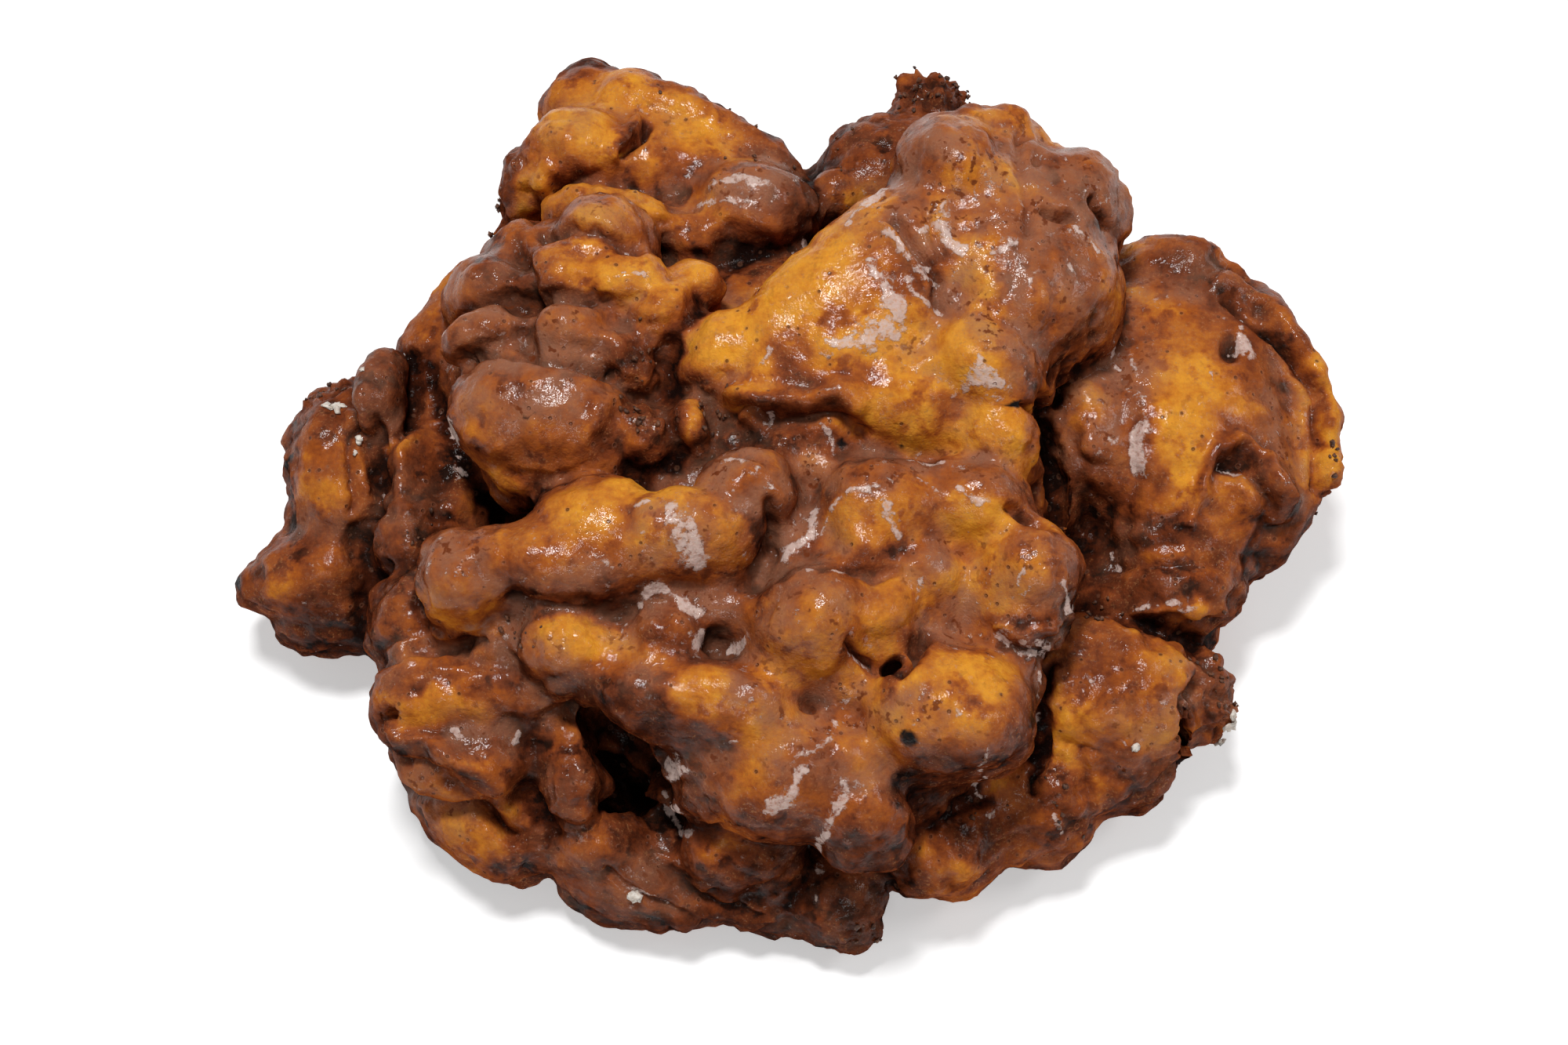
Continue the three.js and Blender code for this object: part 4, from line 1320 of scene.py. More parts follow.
@dataclass(frozen=True)
class CrustFinish:
    """Fried crust from golden to black with painted shade, under a thin milky glaze with dried white blots
    and painted highlights.
    """

    yellow: Rgba = (0.78, 0.325, 0.028, 1)
    gold: Rgba = (0.58, 0.188, 0.018, 1)
    amber: Rgba = (0.37, 0.090, 0.014, 1)
    brown: Rgba = (0.200, 0.043, 0.012, 1)
    dark: Rgba = (0.066, 0.0135, 0.005, 1)
    black: Rgba = (0.010, 0.004, 0.003, 1)
    milk: Rgba = (0.31, 0.132, 0.076, 1)
    film_and_highlight: Rgba = (0.66, 0.49, 0.43, 1)
    freckle: Rgba = (0.15, 0.030, 0.007, 1)
    coal: Rgba = (0.010, 0.008, 0.008, 1)
    sand: Rgba = (0.46, 0.20, 0.075, 1)
    mottle: Blots = Blots(3.2, 5.0, 0.62)
    specks: Blots = Blots(0.9)
    scorches: Blots = Blots(3.8, 4.0, 0.58, (0.50, 0.64))
    scorched_areas: Blots = Blots(8.0, fade=(0.42, 0.6), strength=0.26)
    sand_grains: Blots = Blots(0.5, 2.0, fade=(0.56, 0.68))
    sandy_areas: Blots = Blots(6.0, fade=(0.44, 0.58), strength=0.5)
    veils: Blots = Blots(6.0, 4.0, fade=(0.25, 0.68))
    freckles: Blots = Blots(1.5, 2.0, 0.5, (0.57, 0.66))
    freckled_areas: Blots = Blots(7.0, 2.0, 0.5, (0.42, 0.56), 0.9)
    ragged_edges: Blots = Blots(2.6, 6.0, 0.66)
    flakes_and_glints: Blots = Blots(2.0, 5.0, 0.7, (0.61, 0.67))
    flaked_and_glinting_areas: Blots = Blots(11.0, 2.0, 0.5, (0.46, 0.56))
    film_and_highlight_thickness: Blots = Blots(0.8, fade=(0.1, 0.6), strength=0.9)
    wet_areas: Blots = Blots(5.0, 4.0)
    crust_grain: Blots = Blots(0.6)
    glaze_waves: Blots = Blots(2.4, 4.0)
    pore_size: float = 1.7
    gloss: float = 0.10
    glaze_bending: float = 1.42
    mottle_depth: float = 0.45
    grain_depth: float = 0.16
    pore_depth: float = 0.22
    film_depth: float = 0.10
    glaze_wave_depth: float = 0.34
    glazed_pore_depth: float = 0.16
    glazed_film_depth: float = 0.08
    sheer: float = 0.08
    sheer_depth: float = 0.002

    def baking_and_shade(self, bench: Bench, mottle: Socket) -> Socket:
        """Stored baking with its painted shade, made uneven by mottle and specks and raised where the crust
        scorched.

        Args:
            bench: Bench of the material.
            mottle: Broad uneven pattern of the crust.

        Returns:
            How dark the crust is from browning and painted shade, 0 to 1.
        """
        mottle_reach, speck_reach = 0.55, 0.30
        return bench.plus(
            bench.stored("bake_and_shade"),
            bench.either_way(mottle, mottle_reach),
            bench.either_way(bench.noise(self.specks), speck_reach),
            bench.times(bench.blots(self.scorches), bench.blots(self.scorched_areas)),
        )

    def pores(self, bench: Bench) -> tuple[Socket, Socket]:
        """Pores of burst bubbles: one cell in five gets a hole at its middle inside a pale rim.

        Args:
            bench: Bench of the material.

        Returns:
            Holes and rims, 0 to 1.
        """
        hole_edge, rim_edge, chosen_cells = (0.22, 0.12), (0.40, 0.26), (0.80, 0.84)
        distance, lot = bench.cells(self.pore_size)
        chosen = bench.step(lot, chosen_cells)
        hole = bench.times(bench.step(distance, hole_edge), chosen)
        rim = bench.times(bench.step(distance, rim_edge), chosen)
        return hole, rim

    def dried_film_and_highlights(self, bench: Bench, milk: Socket) -> Socket:
        """Dried glaze and painted highlights: stored streaks with ragged edges, and small flakes and glints
        where the glaze is milky.

        Args:
            bench: Bench of the material.
            milk: How milky the glaze is.

        Returns:
            Film of dried glaze with painted highlights, 0 to 1.
        """
        raggedness, streak_edge = 3.0, (0.50, 0.80)
        ragged = bench.either_way(bench.noise(self.ragged_edges), raggedness)
        streaks = bench.step(bench.plus(bench.stored("film_and_highlight"), ragged), streak_edge)
        flakes_and_glints = bench.times(bench.blots(self.flakes_and_glints), bench.blots(self.flaked_and_glinting_areas), milk)
        return bench.reckon(Sum.MAXIMUM, streaks, flakes_and_glints)

    def wetness(self, bench: Bench, milk: Socket) -> Socket:
        """Strength of the clear coat: some everywhere that is wet, more in areas, most on milky glaze.

        Args:
            bench: Bench of the material.
            milk: How milky the glaze is.

        Returns:
            Strength of the coat, 0 to 1.
        """
        milk_share, area_edge, area_coat, least_coat = 0.12, (0.40, 0.62), 0.50, 0.12
        wet_share, dry_share = 0.9, 0.1
        area = bench.plus(bench.noise(self.wet_areas), bench.times(milk, milk_share))
        coat = bench.plus(bench.step(area, area_edge, area_coat), least_coat)
        return bench.times(coat, bench.plus(bench.times(bench.stored("wet"), wet_share), dry_share))

    def coloured(self, bench: Bench, mottle: Socket, pores: tuple[Socket, Socket], film_and_highlight: Socket,
                 milk: Socket) -> Socket:
        """Colour of the baking and painted shade, covered in turn by pores, sugar sand, veil, freckles,
        burns and film; the pore holes are painted shade and the film carries painted highlights.

        Args:
            bench: Bench of the material.
            mottle: Broad uneven pattern of the crust.
            pores: Holes and rims of the pores.
            film_and_highlight: Film of dried glaze with painted highlights.
            milk: How milky the glaze is.

        Returns:
            The colour.
        """
        rim_share, hole_share, veil_share = 0.22, 0.7, 0.80
        sandy_baking, burnt_edge = (0.95, 0.6), (0.3, 0.95)
        hole, rim = pores
        bake_and_shade = self.baking_and_shade(bench, mottle)
        sandy = bench.times(bench.blots(self.sand_grains), bench.blots(self.sandy_areas),
                            bench.step(bake_and_shade, sandy_baking))
        # The veil is left out where it is deep: painted shade.
        veil = bench.times(bench.blots(self.veils), milk, veil_share, bench.rest(bench.stored("deep")))
        freckled = bench.times(bench.blots(self.freckles), bench.blots(self.freckled_areas), milk)
        burnt = bench.plus(bench.stored("burnt"), bench.either_way(mottle, 1.0))
        colour = bench.scale(bake_and_shade, (self.yellow, self.gold, self.amber, self.brown, self.dark, self.black))
        for cover, share in (
            # Dark pore holes are painted shade; the film layer carries painted highlights.
            (self.milk, bench.times(rim, rim_share)),
            (self.dark, bench.times(hole, hole_share)),
            (self.sand, sandy),
            (self.milk, veil),
            (self.freckle, freckled),
            (self.coal, bench.step(burnt, burnt_edge)),
            (self.film_and_highlight, bench.times(film_and_highlight, bench.blots(self.film_and_highlight_thickness))),
        ):
            colour = bench.cover(colour, cover, share)
        return colour

    def material(self) -> bpy.types.Material:
        """Crust under a clear coat, each with its own fine relief of pores and dried film.

        Returns:
            The material.
        """
        matt_fade, matt_reach, least_matt = (0.25, 0.75), 0.25, 0.36
        bench = Bench("fried_crust")
        milk = bench.stored("milk")
        mottle = bench.noise(self.mottle)
        hole, rim = self.pores(bench)
        film_and_highlight = self.dried_film_and_highlights(bench, milk)
        whole = bench.rest(hole)
        bench.dress({
            "Base Color": self.coloured(bench, mottle, (hole, rim), film_and_highlight, milk),
            "Roughness": bench.plus(bench.step(mottle, matt_fade, matt_reach), least_matt),
            "Specular IOR Level": 0.0,
            "Normal": bench.relief(
                (mottle, self.mottle_depth),
                (bench.noise(self.crust_grain), self.grain_depth),
                (whole, self.pore_depth),
                (film_and_highlight, self.film_depth),
            ),
            "Coat Weight": self.wetness(bench, milk),
            "Coat Roughness": self.gloss,
            "Coat IOR": self.glaze_bending,
            "Coat Normal": bench.relief(
                (bench.noise(self.glaze_waves), self.glaze_wave_depth),
                (whole, self.glazed_pore_depth),
                (film_and_highlight, self.glazed_film_depth),
            ),
            "Subsurface Weight": self.sheer,
            "Subsurface Scale": self.sheer_depth,
        })
        return bench.material


@dataclass(frozen=True)
class GrainFinish:
    """Dry loose bits: one colour broken by a finer, darker one."""

    name: str
    light: Rgba
    deep: Rgba
    rough: float = 0.8
    blot: float = 0.8

    def material(self) -> bpy.types.Material:
        """Two colours mixed by a fine noise, with fine relief.

        Returns:
            The material.
        """
        mixed, relief_depth = (0.35, 0.65), 0.2
        bench = Bench(self.name)
        pattern = bench.noise(Blots(self.blot, 4.0))
        bench.dress({
            "Base Color": bench.cover(self.light, self.deep, bench.step(pattern, mixed)),
            "Normal": bench.relief((pattern, relief_depth)),
            "Roughness": self.rough,
        })
        return bench.material


SUGAR = GrainFinish("dried_sugar", (0.86, 0.80, 0.72, 1), (0.66, 0.55, 0.46, 1), 0.6, 0.7)
CRUMB = GrainFinish("fried_crumb", (0.17, 0.060, 0.024, 1), (0.045, 0.017, 0.010, 1), 0.6, 0.9)


# ---------------------------------------------------------------- the fritter

def fill_creases(piece: bpy.types.Object, depth: float, voxel: float) -> None:
    """Swell a piece and shrink it back, so that creases fill up but knobs keep their size.

    Args:
        piece: The object.
        depth: How far it swells, in millimetres; creases get about this radius.
        voxel: Size of the smallest detail that is kept, in millimetres.
    """
    for way in (depth, -depth):
        skin = Skin(piece)
        skin.points = skin.blurred(skin.points, 1)
        skin.write()
        skin.points = skin.points + way * skin.normals
        skin.write()
        fuse(piece, voxel)


@dataclass(frozen=True)
class Mass:
    """Lumps of one batch of dough that ran into each other before they set."""

    lumps: tuple[Lump, ...]
    soft_rounds: int
    fill: float

    def skin(self, step: float, voxel: float) -> tuple[np.ndarray, np.ndarray]:
        """Fuse the lumps and round the creases between them.

        Args:
            step: Distance between grid points, in millimetres.
            voxel: Size of the smallest detail that is kept, in millimetres.

        Returns:
            Points in millimetres and quads.
        """
        piece = lump_piece("mass", self.lumps, step)
        fuse(piece, voxel)
        fill_creases(piece, self.fill, voxel)
        skin = Skin(piece)
        skin.soften(self.soft_rounds)
        faces = skin.faces()
        bpy.data.objects.remove(piece)
        return skin.points, faces


MASSES = (
    Mass(HEART, 12, 1.0),
    Mass(RIGHT_BUN, 12, 1.6),
    Mass(GOLDEN_SLAB, 7, 1.5),
    Mass(BACK_BUN, 8, 1.2),
    Mass(BACK_LEFT, 6, 1.0),
    Mass(LEFT_CLUSTER, 2, 0.25),
    Mass(LEFT_SIDE, 5, 0.8),
    Mass(CROWN_RIDGE + CROWN_LUMPS + FRONT_TONGUE + CROWN_VALLEYS, 3, 0.8),
    Mass(FRONT_LEFT, 4, 0.8),
    Mass(FRONT_FOOT, 5, 0.9),
    Mass(FRONT_RIGHT, 6, 1.2),
)


@dataclass(frozen=True)
class Crag:
    """One kind of random relief: a number added to the seed, wave length and height in millimetres."""

    number: int
    wave: float
    height: float
    creased: bool = False

    def lift(self, points: np.ndarray, seed: int) -> np.ndarray:
        """Grain times the height; creased relief takes the grain's size less its mean, sharp at 0.

        Args:
            points: Places in millimetres.
            seed: Seed of the dough.

        Returns:
            Lift at each place, in millimetres.
        """
        mean_size = 0.35
        grain = Grain(seed + self.number).layers(points, self.wave, 2)
        if self.creased:
            grain = np.abs(grain) - mean_size
        return self.height * grain


@dataclass(frozen=True)
class Relief:
    """How the dough's skin is roughened, in millimetres, and the blurs that its edges stand out from."""

    crags: tuple[Crag, ...] = (
        Crag(0, 13.0, 0.9),
        Crag(4, 8.0, 1.1, creased=True),
        Crag(5, 5.0, -0.55, creased=True),
        Crag(1, 2.4, 0.26),
    )
    calming: float = 0.6
    fold_drift: float = 1.0
    marked_slopes: Span = (-0.05, 0.35)
    film_height: float = 0.12
    film_edge: Span = (0.35, 0.6)
    crumb_number: int = 6
    crumb_wave: float = 2.6
    crumb_height: float = 1.3
    resting_heights: Span = (0.2, 3.0)
    crisp_rounds: int = 8
    crispness: float = 0.45
    stout_rounds: int = 36
    stoutness: float = 0.3


@dataclass(frozen=True)
class BakingAndShade:
    """How dark the crust is in each kind of place, 0 for yellow to 1 for black: browning and painted shade.

    A plain place has the first value. Drift goes either way, a cleft, a crease, a side and the foot
    are darker, pale drifts and edges lighter; in clefts, creases and at the foot this is painted shade
    on top of the browning. Golden, dark and shaded places have values of their own: shaded places are
    painted shade and dark places partly so. A span says where a kind of place begins and where it is
    full: depths and heights are millimetres, slopes the upward share of the outward direction.
    """

    plain: float = 0.47
    drift: float = 0.13
    drift_wave: float = 16.0
    cleft: float = 0.40
    cleft_depths: Span = (0.0, 1.8)
    crease: float = 0.12
    crease_depths: Span = (0.04, 0.25)
    side: float = 0.24
    side_slopes: Span = (0.85, 0.3)
    foot: float = 0.12
    foot_heights: Span = (16.0, 2.0)
    pale: float = 0.25
    pale_drifts: Span = (0.25, 0.8)
    edge: float = 0.10
    edge_heights: Span = (0.05, 0.3)
    golden: float = 0.06
    golden_slopes: Span = (-0.35, 0.15)
    dark: float = 0.82
    shaded: float = 0.97
    shaded_depths: Span = (-0.6, 0.8)


@dataclass(frozen=True)
class Glaze:
    """Where the glaze lies: milky on tops and in the crown's valleys, dry deep in the clefts, where the
    milky veil is left out as painted shade.

    Depths and heights are millimetres, slopes the upward share of the outward direction.
    """

    crown_heights: Span = (30.0, 42.0)
    crown_share: float = 0.6
    deep: float = 0.9
    dry: float = 0.85
    dry_depths: Span = (0.4, 1.8)
    shade_depth: float = 2.0
    thin_milk: float = 0.2
    pooled_milk: float = 0.55
    pool_depths: Span = (-0.1, 0.9)
    milky_slopes: Span = (0.1, 0.8)
    off_dark: float = 0.6
    ring_wet: float = 0.65
    crown_wet: float = 0.35
    wet_slopes: Span = (0.0, 0.65)


@dataclass
class Dough:
    """The fritter itself: fused lumps, clefts, relief and colours."""

    voxel: float = 0.72
    lump_step: float = 1.3
    soft_rounds: int = 3
    triangles: int = 196_000
    glaze_depth: float = 0.5
    relief: Relief = Relief()
    baking_and_shade: BakingAndShade = BakingAndShade()
    glaze: Glaze = Glaze()
    seed: int = 11
    piece: bpy.types.Object = field(init=False)
    skin: Skin = field(init=False)
    shift: np.ndarray = field(init=False)

    def build(self) -> bpy.types.Object:
        """Fuse, carve, soften, roughen, thin and colour the dough, then set it in its place.

        Returns:
            The finished piece.
        """
        self.gather()
        fuse(self.piece, self.voxel)
        fill_creases(self.piece, self.glaze_depth, self.voxel)
        tool = lump_piece("clefts", CLEFTS, self.lump_step)
        fuse(tool, self.voxel)
        carve(self.piece, tool)
        carve(self.piece, self.rest_block())
        fuse(self.piece, self.voxel)
        keep_largest(self.piece)
        self.soften()
        self.roughen()
        self.thin()
        self.colour()
        self.place()
        self.piece.data.materials.clear()
        self.piece.data.materials.append(CrustFinish().material())
        return self.piece

    def gather(self) -> None:
        """Put the skins of all the masses into one piece, still crossing each other."""
        points: list[np.ndarray] = []
        faces: list[np.ndarray] = []
        count = 0
        for mass in MASSES:
            skin, quads = mass.skin(self.lump_step, self.voxel)
            points.append(skin)
            faces.append(quads + count)
            count += len(skin)
        self.piece = make_piece("fritter_dough", np.concatenate(points), np.concatenate(faces).tolist())

    def rest_block(self) -> bpy.types.Object:
        """Block under the table that trims the lumps flat where they rest.

        Returns:
            The block.
        """
        half, depth = 140.0, 80.0
        sides = (-half, half)
        corners = np.array([(x, y, z) for z in (-depth, 0) for y in sides for x in sides])
        faces = [[0, 2, 3, 1], [4, 5, 7, 6], [0, 1, 5, 4], [2, 6, 7, 3], [0, 4, 6, 2], [1, 3, 7, 5]]
        return make_piece("table_block", corners, faces)

    def soften(self) -> None:
        """Blur the skin a little, so that lumps melt into each other."""
        self.skin = Skin(self.piece)
        self.skin.points = self.skin.blurred(self.skin.points, self.soft_rounds)
        self.skin.write()

    def roughen(self) -> None:
        """Move each point along its outward direction by crags, folds, film and crumbs.

        Then the skin's distance from a narrow and from a broad blur of itself is made larger, which
        sharpens edges and rounds out knobs. Nothing moves where the dough rests.
        """
        relief = self.relief
        skin = self.skin
        points = skin.points
        spots = self.drifted(points, relief.fold_drift)
        lift = sum(crag.lift(points, self.seed) for crag in relief.crags)
        lift *= 1 - relief.calming * strongest(CALM, *spots)
        facing = smooth(skin.normals[:, 2], *relief.marked_slopes)
        for mark in FOLDS + GROOVES:
            lift += facing * mark.weight(*spots)
        for mark in FILM_AND_HIGHLIGHTS:
            lift += relief.film_height * facing * smooth(mark.weight(*spots), *relief.film_edge)
        crumbs = Grain(self.seed + relief.crumb_number).layers(points, relief.crumb_wave, 3)
        lift += relief.crumb_height * strongest(CRUMBLY, *spots) * crumbs
        free = smooth(points[:, 2], *relief.resting_heights)[:, None]
        moved = points + skin.normals * (lift[:, None] * free)
        crisp = relief.crispness * (moved - skin.blurred(moved, relief.crisp_rounds))
        stout = relief.stoutness * (moved - skin.blurred(moved, relief.stout_rounds))
        skin.points = moved + free * (crisp + stout)
        skin.points[:, 2] = np.maximum(skin.points[:, 2], 0)
        skin.write()

    def drifted(self, points: np.ndarray, depth: float) -> tuple[np.ndarray, np.ndarray]:
        """Places seen from above, shifted by a slow random drift, so that marks get uneven edges.

        Args:
            points: Places in millimetres.
            depth: Largest shift.

        Returns:
            Places to the right and to the back.
        """
        wave, apart = 6.0, 50.0
        drift = Grain(self.seed + 2)
        across = points[:, 0] + depth * drift.layers(points, wave, 3)
        back = points[:, 1] + depth * drift.layers(points + apart, wave, 3)
        return across, back

    def thin(self) -> None:
        """Merge the flattest triangles until the piece is light enough."""
        faces = 2 * len(self.piece.data.polygons)
        if faces > self.triangles:
            lighter = self.piece.modifiers.new("thin", "DECIMATE")
            lighter.ratio = self.triangles / faces
            settle(self.piece)
        self.piece.data.polygons.foreach_set("use_smooth", np.ones(len(self.piece.data.polygons), bool))
        self.skin = Skin(self.piece)

    def colour(self) -> None:
        """Store how dark each place is from browning and painted shade, and where glaze, dried film with
        painted highlights and burnt specks lie.
        """
        baking_and_shade = self.baking_and_shade
        glaze = self.glaze
        skin = self.skin
        points = skin.points
        level = skin.normals[:, 2]
        mark_drift, fine_drift = 2.4, 1.3
        near_rounds, wide_rounds, upward_rounds = 6, 60, 8
        spots = self.drifted(points, mark_drift)
        fine_spots = self.drifted(points, fine_drift)
        near = skin.hollow(near_rounds)
        wide = skin.hollow(wide_rounds)
        upward = skin.blurred(skin.normals, upward_rounds)[:, 2]
        broad = Grain(self.seed + 3).layers(points, baking_and_shade.drift_wave, 3)
        crown = smooth(points[:, 2], *glaze.crown_heights)
        ring = 1 - glaze.crown_share * crown
        facing = smooth(level, *baking_and_shade.golden_slopes)
        gold = facing * strongest(GOLD, *spots)
        dark = strongest(DARK, *spots)
        shade = strongest(SHADE, *spots) * smooth(wide, *baking_and_shade.shaded_depths)

        bake_and_shade = baking_and_shade.plain - baking_and_shade.drift * broad
        # Painted shade: clefts, creases and the low foot are darker, on top of the browning.
        bake_and_shade += baking_and_shade.cleft * smooth(wide, *baking_and_shade.cleft_depths) * ring
        bake_and_shade += baking_and_shade.crease * smooth(near, *baking_and_shade.crease_depths)
        bake_and_shade += baking_and_shade.side * smooth(upward, *baking_and_shade.side_slopes)
        bake_and_shade += baking_and_shade.foot * smooth(points[:, 2], *baking_and_shade.foot_heights)
        bake_and_shade -= baking_and_shade.pale * smooth(broad, *baking_and_shade.pale_drifts)
        # Painted shade: shaded strokes in the deepest clefts go nearly black.
        for share, value in ((gold, baking_and_shade.golden), (dark, baking_and_shade.dark), (shade, baking_and_shade.shaded)):
            bake_and_shade += share * (value - bake_and_shade)
        bake_and_shade -= baking_and_shade.edge * smooth(-near, *baking_and_shade.edge_heights) * (1 - gold)

        sunk = glaze.shade_depth * shade
        pooled = glaze.pooled_milk * crown * smooth(wide, *glaze.pool_depths)
        milk = glaze.thin_milk + pooled + strongest(MILK, *spots)
        # No milky veil in shaded strokes, so they stay dark: painted shade.
        milk *= (1 - glaze.off_dark * dark) * (1 - shade) * smooth(level, *glaze.milky_slopes)
        wet = glaze.ring_wet + glaze.crown_wet * crown
        wet *= (1 - glaze.dry * smooth(wide + sunk, *glaze.dry_depths)) * smooth(upward, *glaze.wet_slopes)

        skin.paint("bake_and_shade", np.clip(bake_and_shade, 0, 1))
        # Deep places lose the milky veil: painted shade.
        skin.paint("deep", glaze.deep * smooth(wide * ring + sunk, *glaze.dry_depths))
        skin.paint("film_and_highlight", facing * strongest(FILM_AND_HIGHLIGHTS, *fine_spots))
        skin.paint("burnt", facing * strongest(BURNT, *fine_spots))
        skin.paint("milk", np.clip(milk, 0, 1))
        skin.paint("wet", wet)

    def place(self) -> None:
        """Set the dough on the middle of the node that it stands for."""
        low, high = (np.array(corner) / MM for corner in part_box("fritter"))
        points = self.skin.points
        middle = (points.min(0) + points.max(0)) / 2
        self.shift = (low + high) / 2 - middle
        self.shift[2] = 0
        self.skin.points = points + self.shift
        self.skin.write()

    def top_at(self, spots: np.ndarray, within: float = 1.2) -> np.ndarray:
        """Highest point of the skin near each spot seen from above.

        Args:
            spots: Places to the right and back, in millimetres, before the dough is set in place.
            within: How near a point has to be.

        Returns:
            Number of the point for each spot.
        """
        hardly_farther = 1.01
        found = []
        for spot in spots + self.shift[:2]:
            gap = ((self.skin.points[:, :2] - spot) ** 2).sum(1)
            near = np.flatnonzero(gap < max(within ** 2, gap.min() * hardly_farther))
            found.append(near[self.skin.points[near, 2].argmax()])
        return np.array(found)


@dataclass(frozen=True)
class Cluster:
    """Loose bits that lie close together on the dough."""

    centre: Spot
    spread: Spot
    count: int
    size: float


@dataclass
class Bits:
    """Many small uneven grains that lie on the dough, joined into one piece."""

    name: str
    finish: GrainFinish
    clusters: tuple[Cluster, ...]
    seed: int
    flat: float = 0.7
    sunk: float = 0.25
    scatter: float = 0.5
    sizes: Span = (0.45, 1.3)
    bump: float = 0.5
    stretches: Span = (0.65, 1.35)
    rows: int = 6
    columns: int = 7

    def build(self, dough: Dough) -> bpy.types.Object:
        """Draw places and sizes, then set a small uneven ball at each place, all as arrays.

        Args:
            dough: The dough that the bits lie on.

        Returns:
            The finished piece.
        """
        draws = np.random.default_rng(self.seed)
        spots = np.concatenate([
            np.array(group.centre) + draws.normal(0, self.scatter, (group.count, 2)) * np.array(group.spread)
            for group in self.clusters
        ])
        size = np.concatenate([
            group.size * draws.uniform(*self.sizes, group.count) for group in self.clusters
        ])
        seat = dough.top_at(spots)
        ball = ball_points(unit_ball(self.rows, self.columns))
        count = len(spots)
        bumps = 1 + self.bump * draws.uniform(-1, 1, (count, len(ball), 1))
        stretch = draws.uniform(*self.stretches, (count, 1, 3)) * np.array([1, 1, self.flat])
        grains = ball[None] * bumps * stretch * size[:, None, None]
        normal = dough.skin.normals[seat]
        side = np.cross(normal, draws.normal(size=(count, 3)))
        side /= np.linalg.norm(side, axis=1, keepdims=True)
        other = np.cross(normal, side)
        turned = grains[..., :1] * side[:, None] + grains[..., 1:2] * other[:, None]
        turned = turned + grains[..., 2:] * normal[:, None]
        seats = dough.skin.points[seat] + normal * (size * (self.flat - self.sunk))[:, None]
        points = turned + seats[:, None]
        faces: list[list[int]] = []
        for number in range(count):
            faces += ball_faces(self.rows, self.columns, number * len(ball))
        piece = make_piece(self.name, points.reshape(-1, 3), faces)
        piece.data.materials.append(self.finish.material())
        return piece


SUGAR_SPOTS = (
    Cluster((-78.5, 9.5), (1.5, 0.5), 6, 0.75),
    Cluster((-74, 14), (0.5, 0.7), 3, 0.6),
    Cluster((-74, 0.5), (0.3, 1.2), 4, 0.5),
    Cluster((-25, -75.5), (1.5, 0.7), 8, 0.7),
    Cluster((78, -46), (0.9, 2.6), 12, 0.8),
    Cluster((59.5, -52), (0.6, 0.6), 4, 0.6),
)

CRUMB_SPOTS = (
    Cluster((28, 77), (10, 7), 26, 0.5),
    Cluster((37, 73), (6, 5), 16, 0.45),
    Cluster((75, -40), (5, 10), 16, 0.5),
    Cluster((-56, 52), (4, 3), 12, 0.5),
    Cluster((-23, 8), (3, 5), 10, 0.4),
    Cluster((-12, 1), (3, 4), 10, 0.4),
    Cluster((-24, -1), (3, 4), 12, 0.4),
    Cluster((-81, 15), (12, 6), 12, 0.4),
    Cluster((14, -80), (8, 2.5), 12, 0.4),
    Cluster((55, -28), (5, 3), 12, 0.4),
    Cluster((97, 0), (1.5, 6), 10, 0.45),
    Cluster((-60, -15), (4, 5), 8, 0.4),
    Cluster((-45, -37), (6, 4), 12, 0.35),
    Cluster((0, 60), (14, 12), 14, 0.35),
    Cluster((40, -60), (16, 6), 14, 0.35),
)


# ---------------------------------------------------------------- floor, light and camera

@dataclass(frozen=True)
class Softbox:
    """A rectangular area light that looks at the fritter."""

    name: str
    place: Point
    size: Spot
    power: float


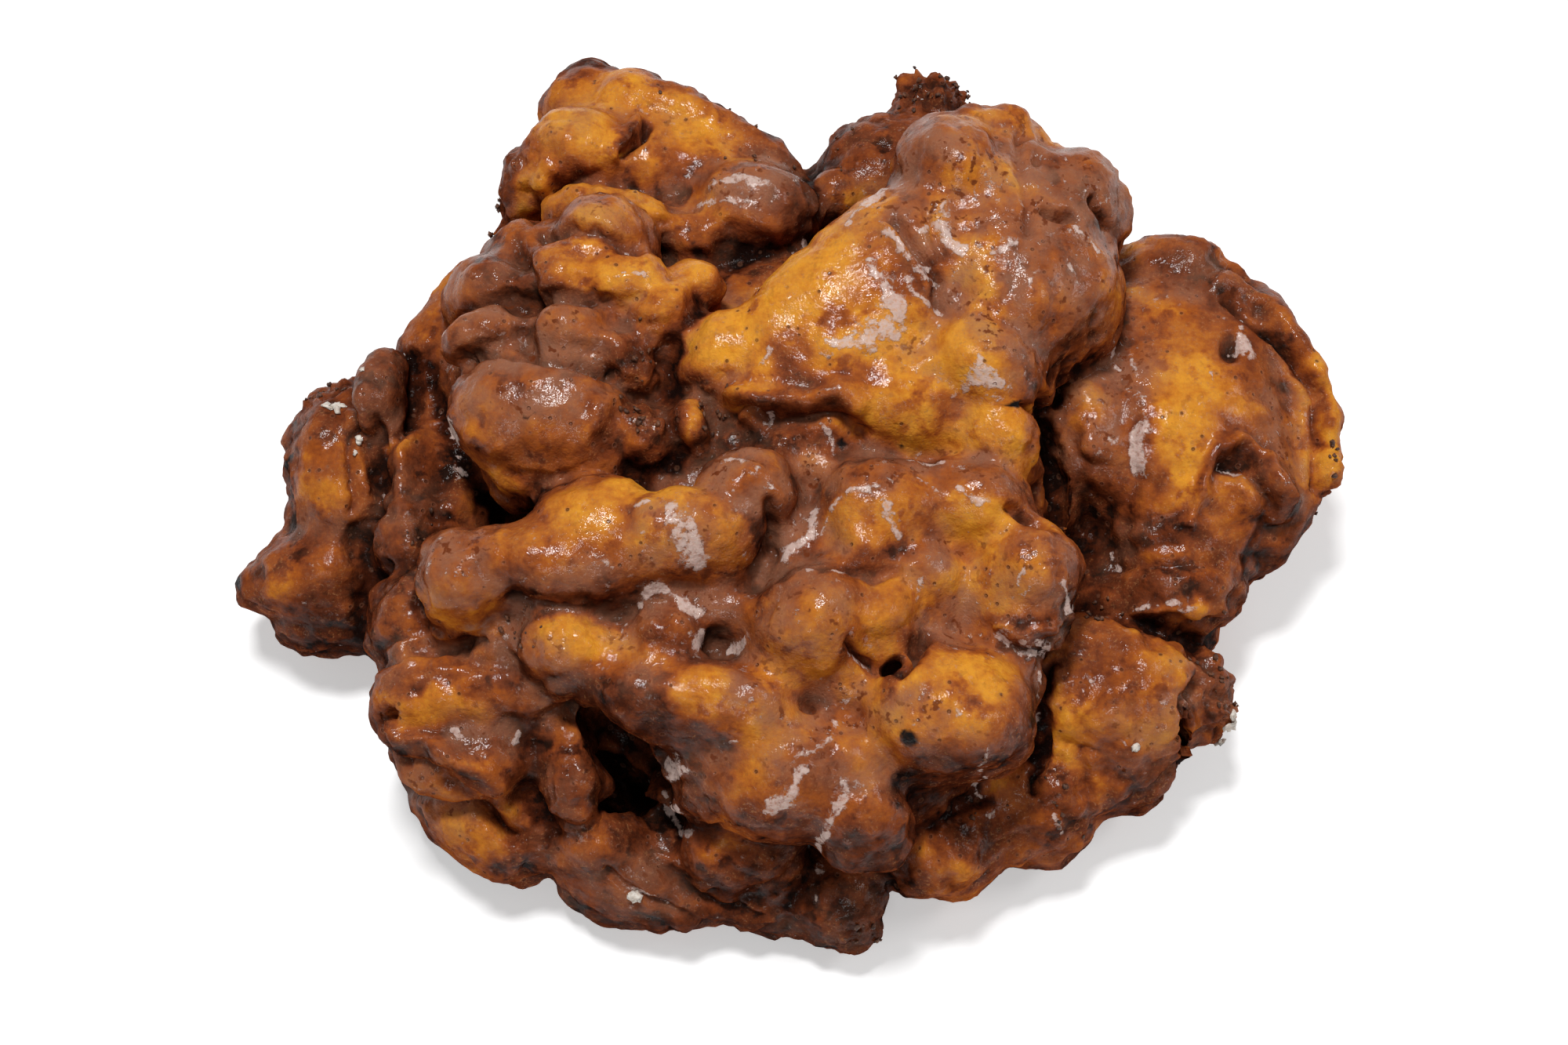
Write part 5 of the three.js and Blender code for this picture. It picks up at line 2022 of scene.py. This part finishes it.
@dataclass
class Studio:
    """White floor, even daylight and the photograph's camera, in metres."""

    floor_size: float = 6.0
    floor_glow: float = 0.38
    sky: float = 0.19
    camera_reach: float = 0.442
    camera_lift: float = math.radians(69.5)
    lens: float = 54.0
    film_width: float = 36.0
    nearest: float = 0.01
    boxes: tuple[Softbox, ...] = (
        Softbox("window_above", (-0.08, 0.19, 0.85), (0.17, 0.12), 5.0),
        Softbox("window_right", (0.60, 0.10, 0.60), (0.24, 0.20), 1.0),
        Softbox("fill_front", (-0.10, -0.65, 0.70), (0.26, 0.12), 0.8),
    )

    def build(self, shift: np.ndarray) -> None:
        """Make floor, world, lights and camera.

        Args:
            shift: How far the dough was moved into its place, in millimetres.
        """
        self.lay_floor()
        self.light()
        self.aim(Vector(shift * MM))
        view = bpy.context.scene.view_settings
        view.view_transform = "Standard"
        view.look = "None"

    def lay_floor(self) -> None:
        """White floor, just under the fritter's flat base."""
        half = self.floor_size / 2 / MM
        corners = np.array([(-half, -half, 0), (half, -half, 0), (half, half, 0), (-half, half, 0)])
        floor = make_piece("floor", corners, [[0, 1, 2, 3]])
        bench = Bench("white_floor")
        bench.dress({
            "Base Color": (0.90, 0.90, 0.90, 1),
            "Roughness": 0.7,
            "Emission Color": (1, 1, 1, 1),
            "Emission Strength": self.floor_glow,
        })
        floor.data.materials.append(bench.material)

    def light(self) -> None:
        """Even white sky and the softboxes."""
        world = bpy.data.worlds.new("daylight")
        world.use_nodes = True
        sky = world.node_tree.nodes["Background"]
        sky.inputs["Color"].default_value = (1.0, 1.0, 1.0, 1)
        sky.inputs["Strength"].default_value = self.sky
        bpy.context.scene.world = world
        for box in self.boxes:
            lamp = bpy.data.lights.new(box.name, "AREA")
            lamp.shape = "RECTANGLE"
            lamp.size, lamp.size_y = box.size
            lamp.energy = box.power
            holder = bpy.data.objects.new(box.name, lamp)
            holder.location = box.place
            holder.rotation_euler = (-Vector(box.place)).to_track_quat("-Z", "Y").to_euler()
            bpy.context.scene.collection.objects.link(holder)

    def aim(self, target: Vector) -> None:
        """Camera on its arc in front of and above the target.

        Args:
            target: Point on the table that the camera looks at.
        """
        lens = bpy.data.cameras.new("photo_camera")
        lens.lens = self.lens
        lens.sensor_width = self.film_width
        lens.clip_start = self.nearest
        camera = bpy.data.objects.new("photo_camera", lens)
        away = Vector((0, -math.cos(self.camera_lift), math.sin(self.camera_lift)))
        camera.location = target + away * self.camera_reach
        camera.rotation_euler = (-away).to_track_quat("-Z", "Y").to_euler()
        bpy.context.scene.collection.objects.link(camera)
        bpy.context.scene.camera = camera


def report(piece: bpy.types.Object) -> None:
    """Log a piece's size.

    Args:
        piece: The finished piece.
    """
    triangles = sum(len(face.vertices) - 2 for face in piece.data.polygons)
    log.info("%s: %d points, %d triangles", piece.name, len(piece.data.vertices), triangles)


def main() -> None:
    """Build the dough, the bits on it and the studio, and note the sizes."""
    logging.basicConfig(level=logging.INFO)
    dough = Dough()
    body = dough.build()
    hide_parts("fritter")
    pieces = [body]
    for bits in (
        Bits("sugar_flakes", SUGAR, SUGAR_SPOTS, 21, flat=0.4, sunk=0.1),
        Bits("crumbs", CRUMB, CRUMB_SPOTS, 22),
    ):
        pieces.append(bits.build(dough))
    for piece in pieces:
        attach(piece, "root")
        report(piece)
    Studio().build(dough.shift)


if __name__ == "__main__":
    main()
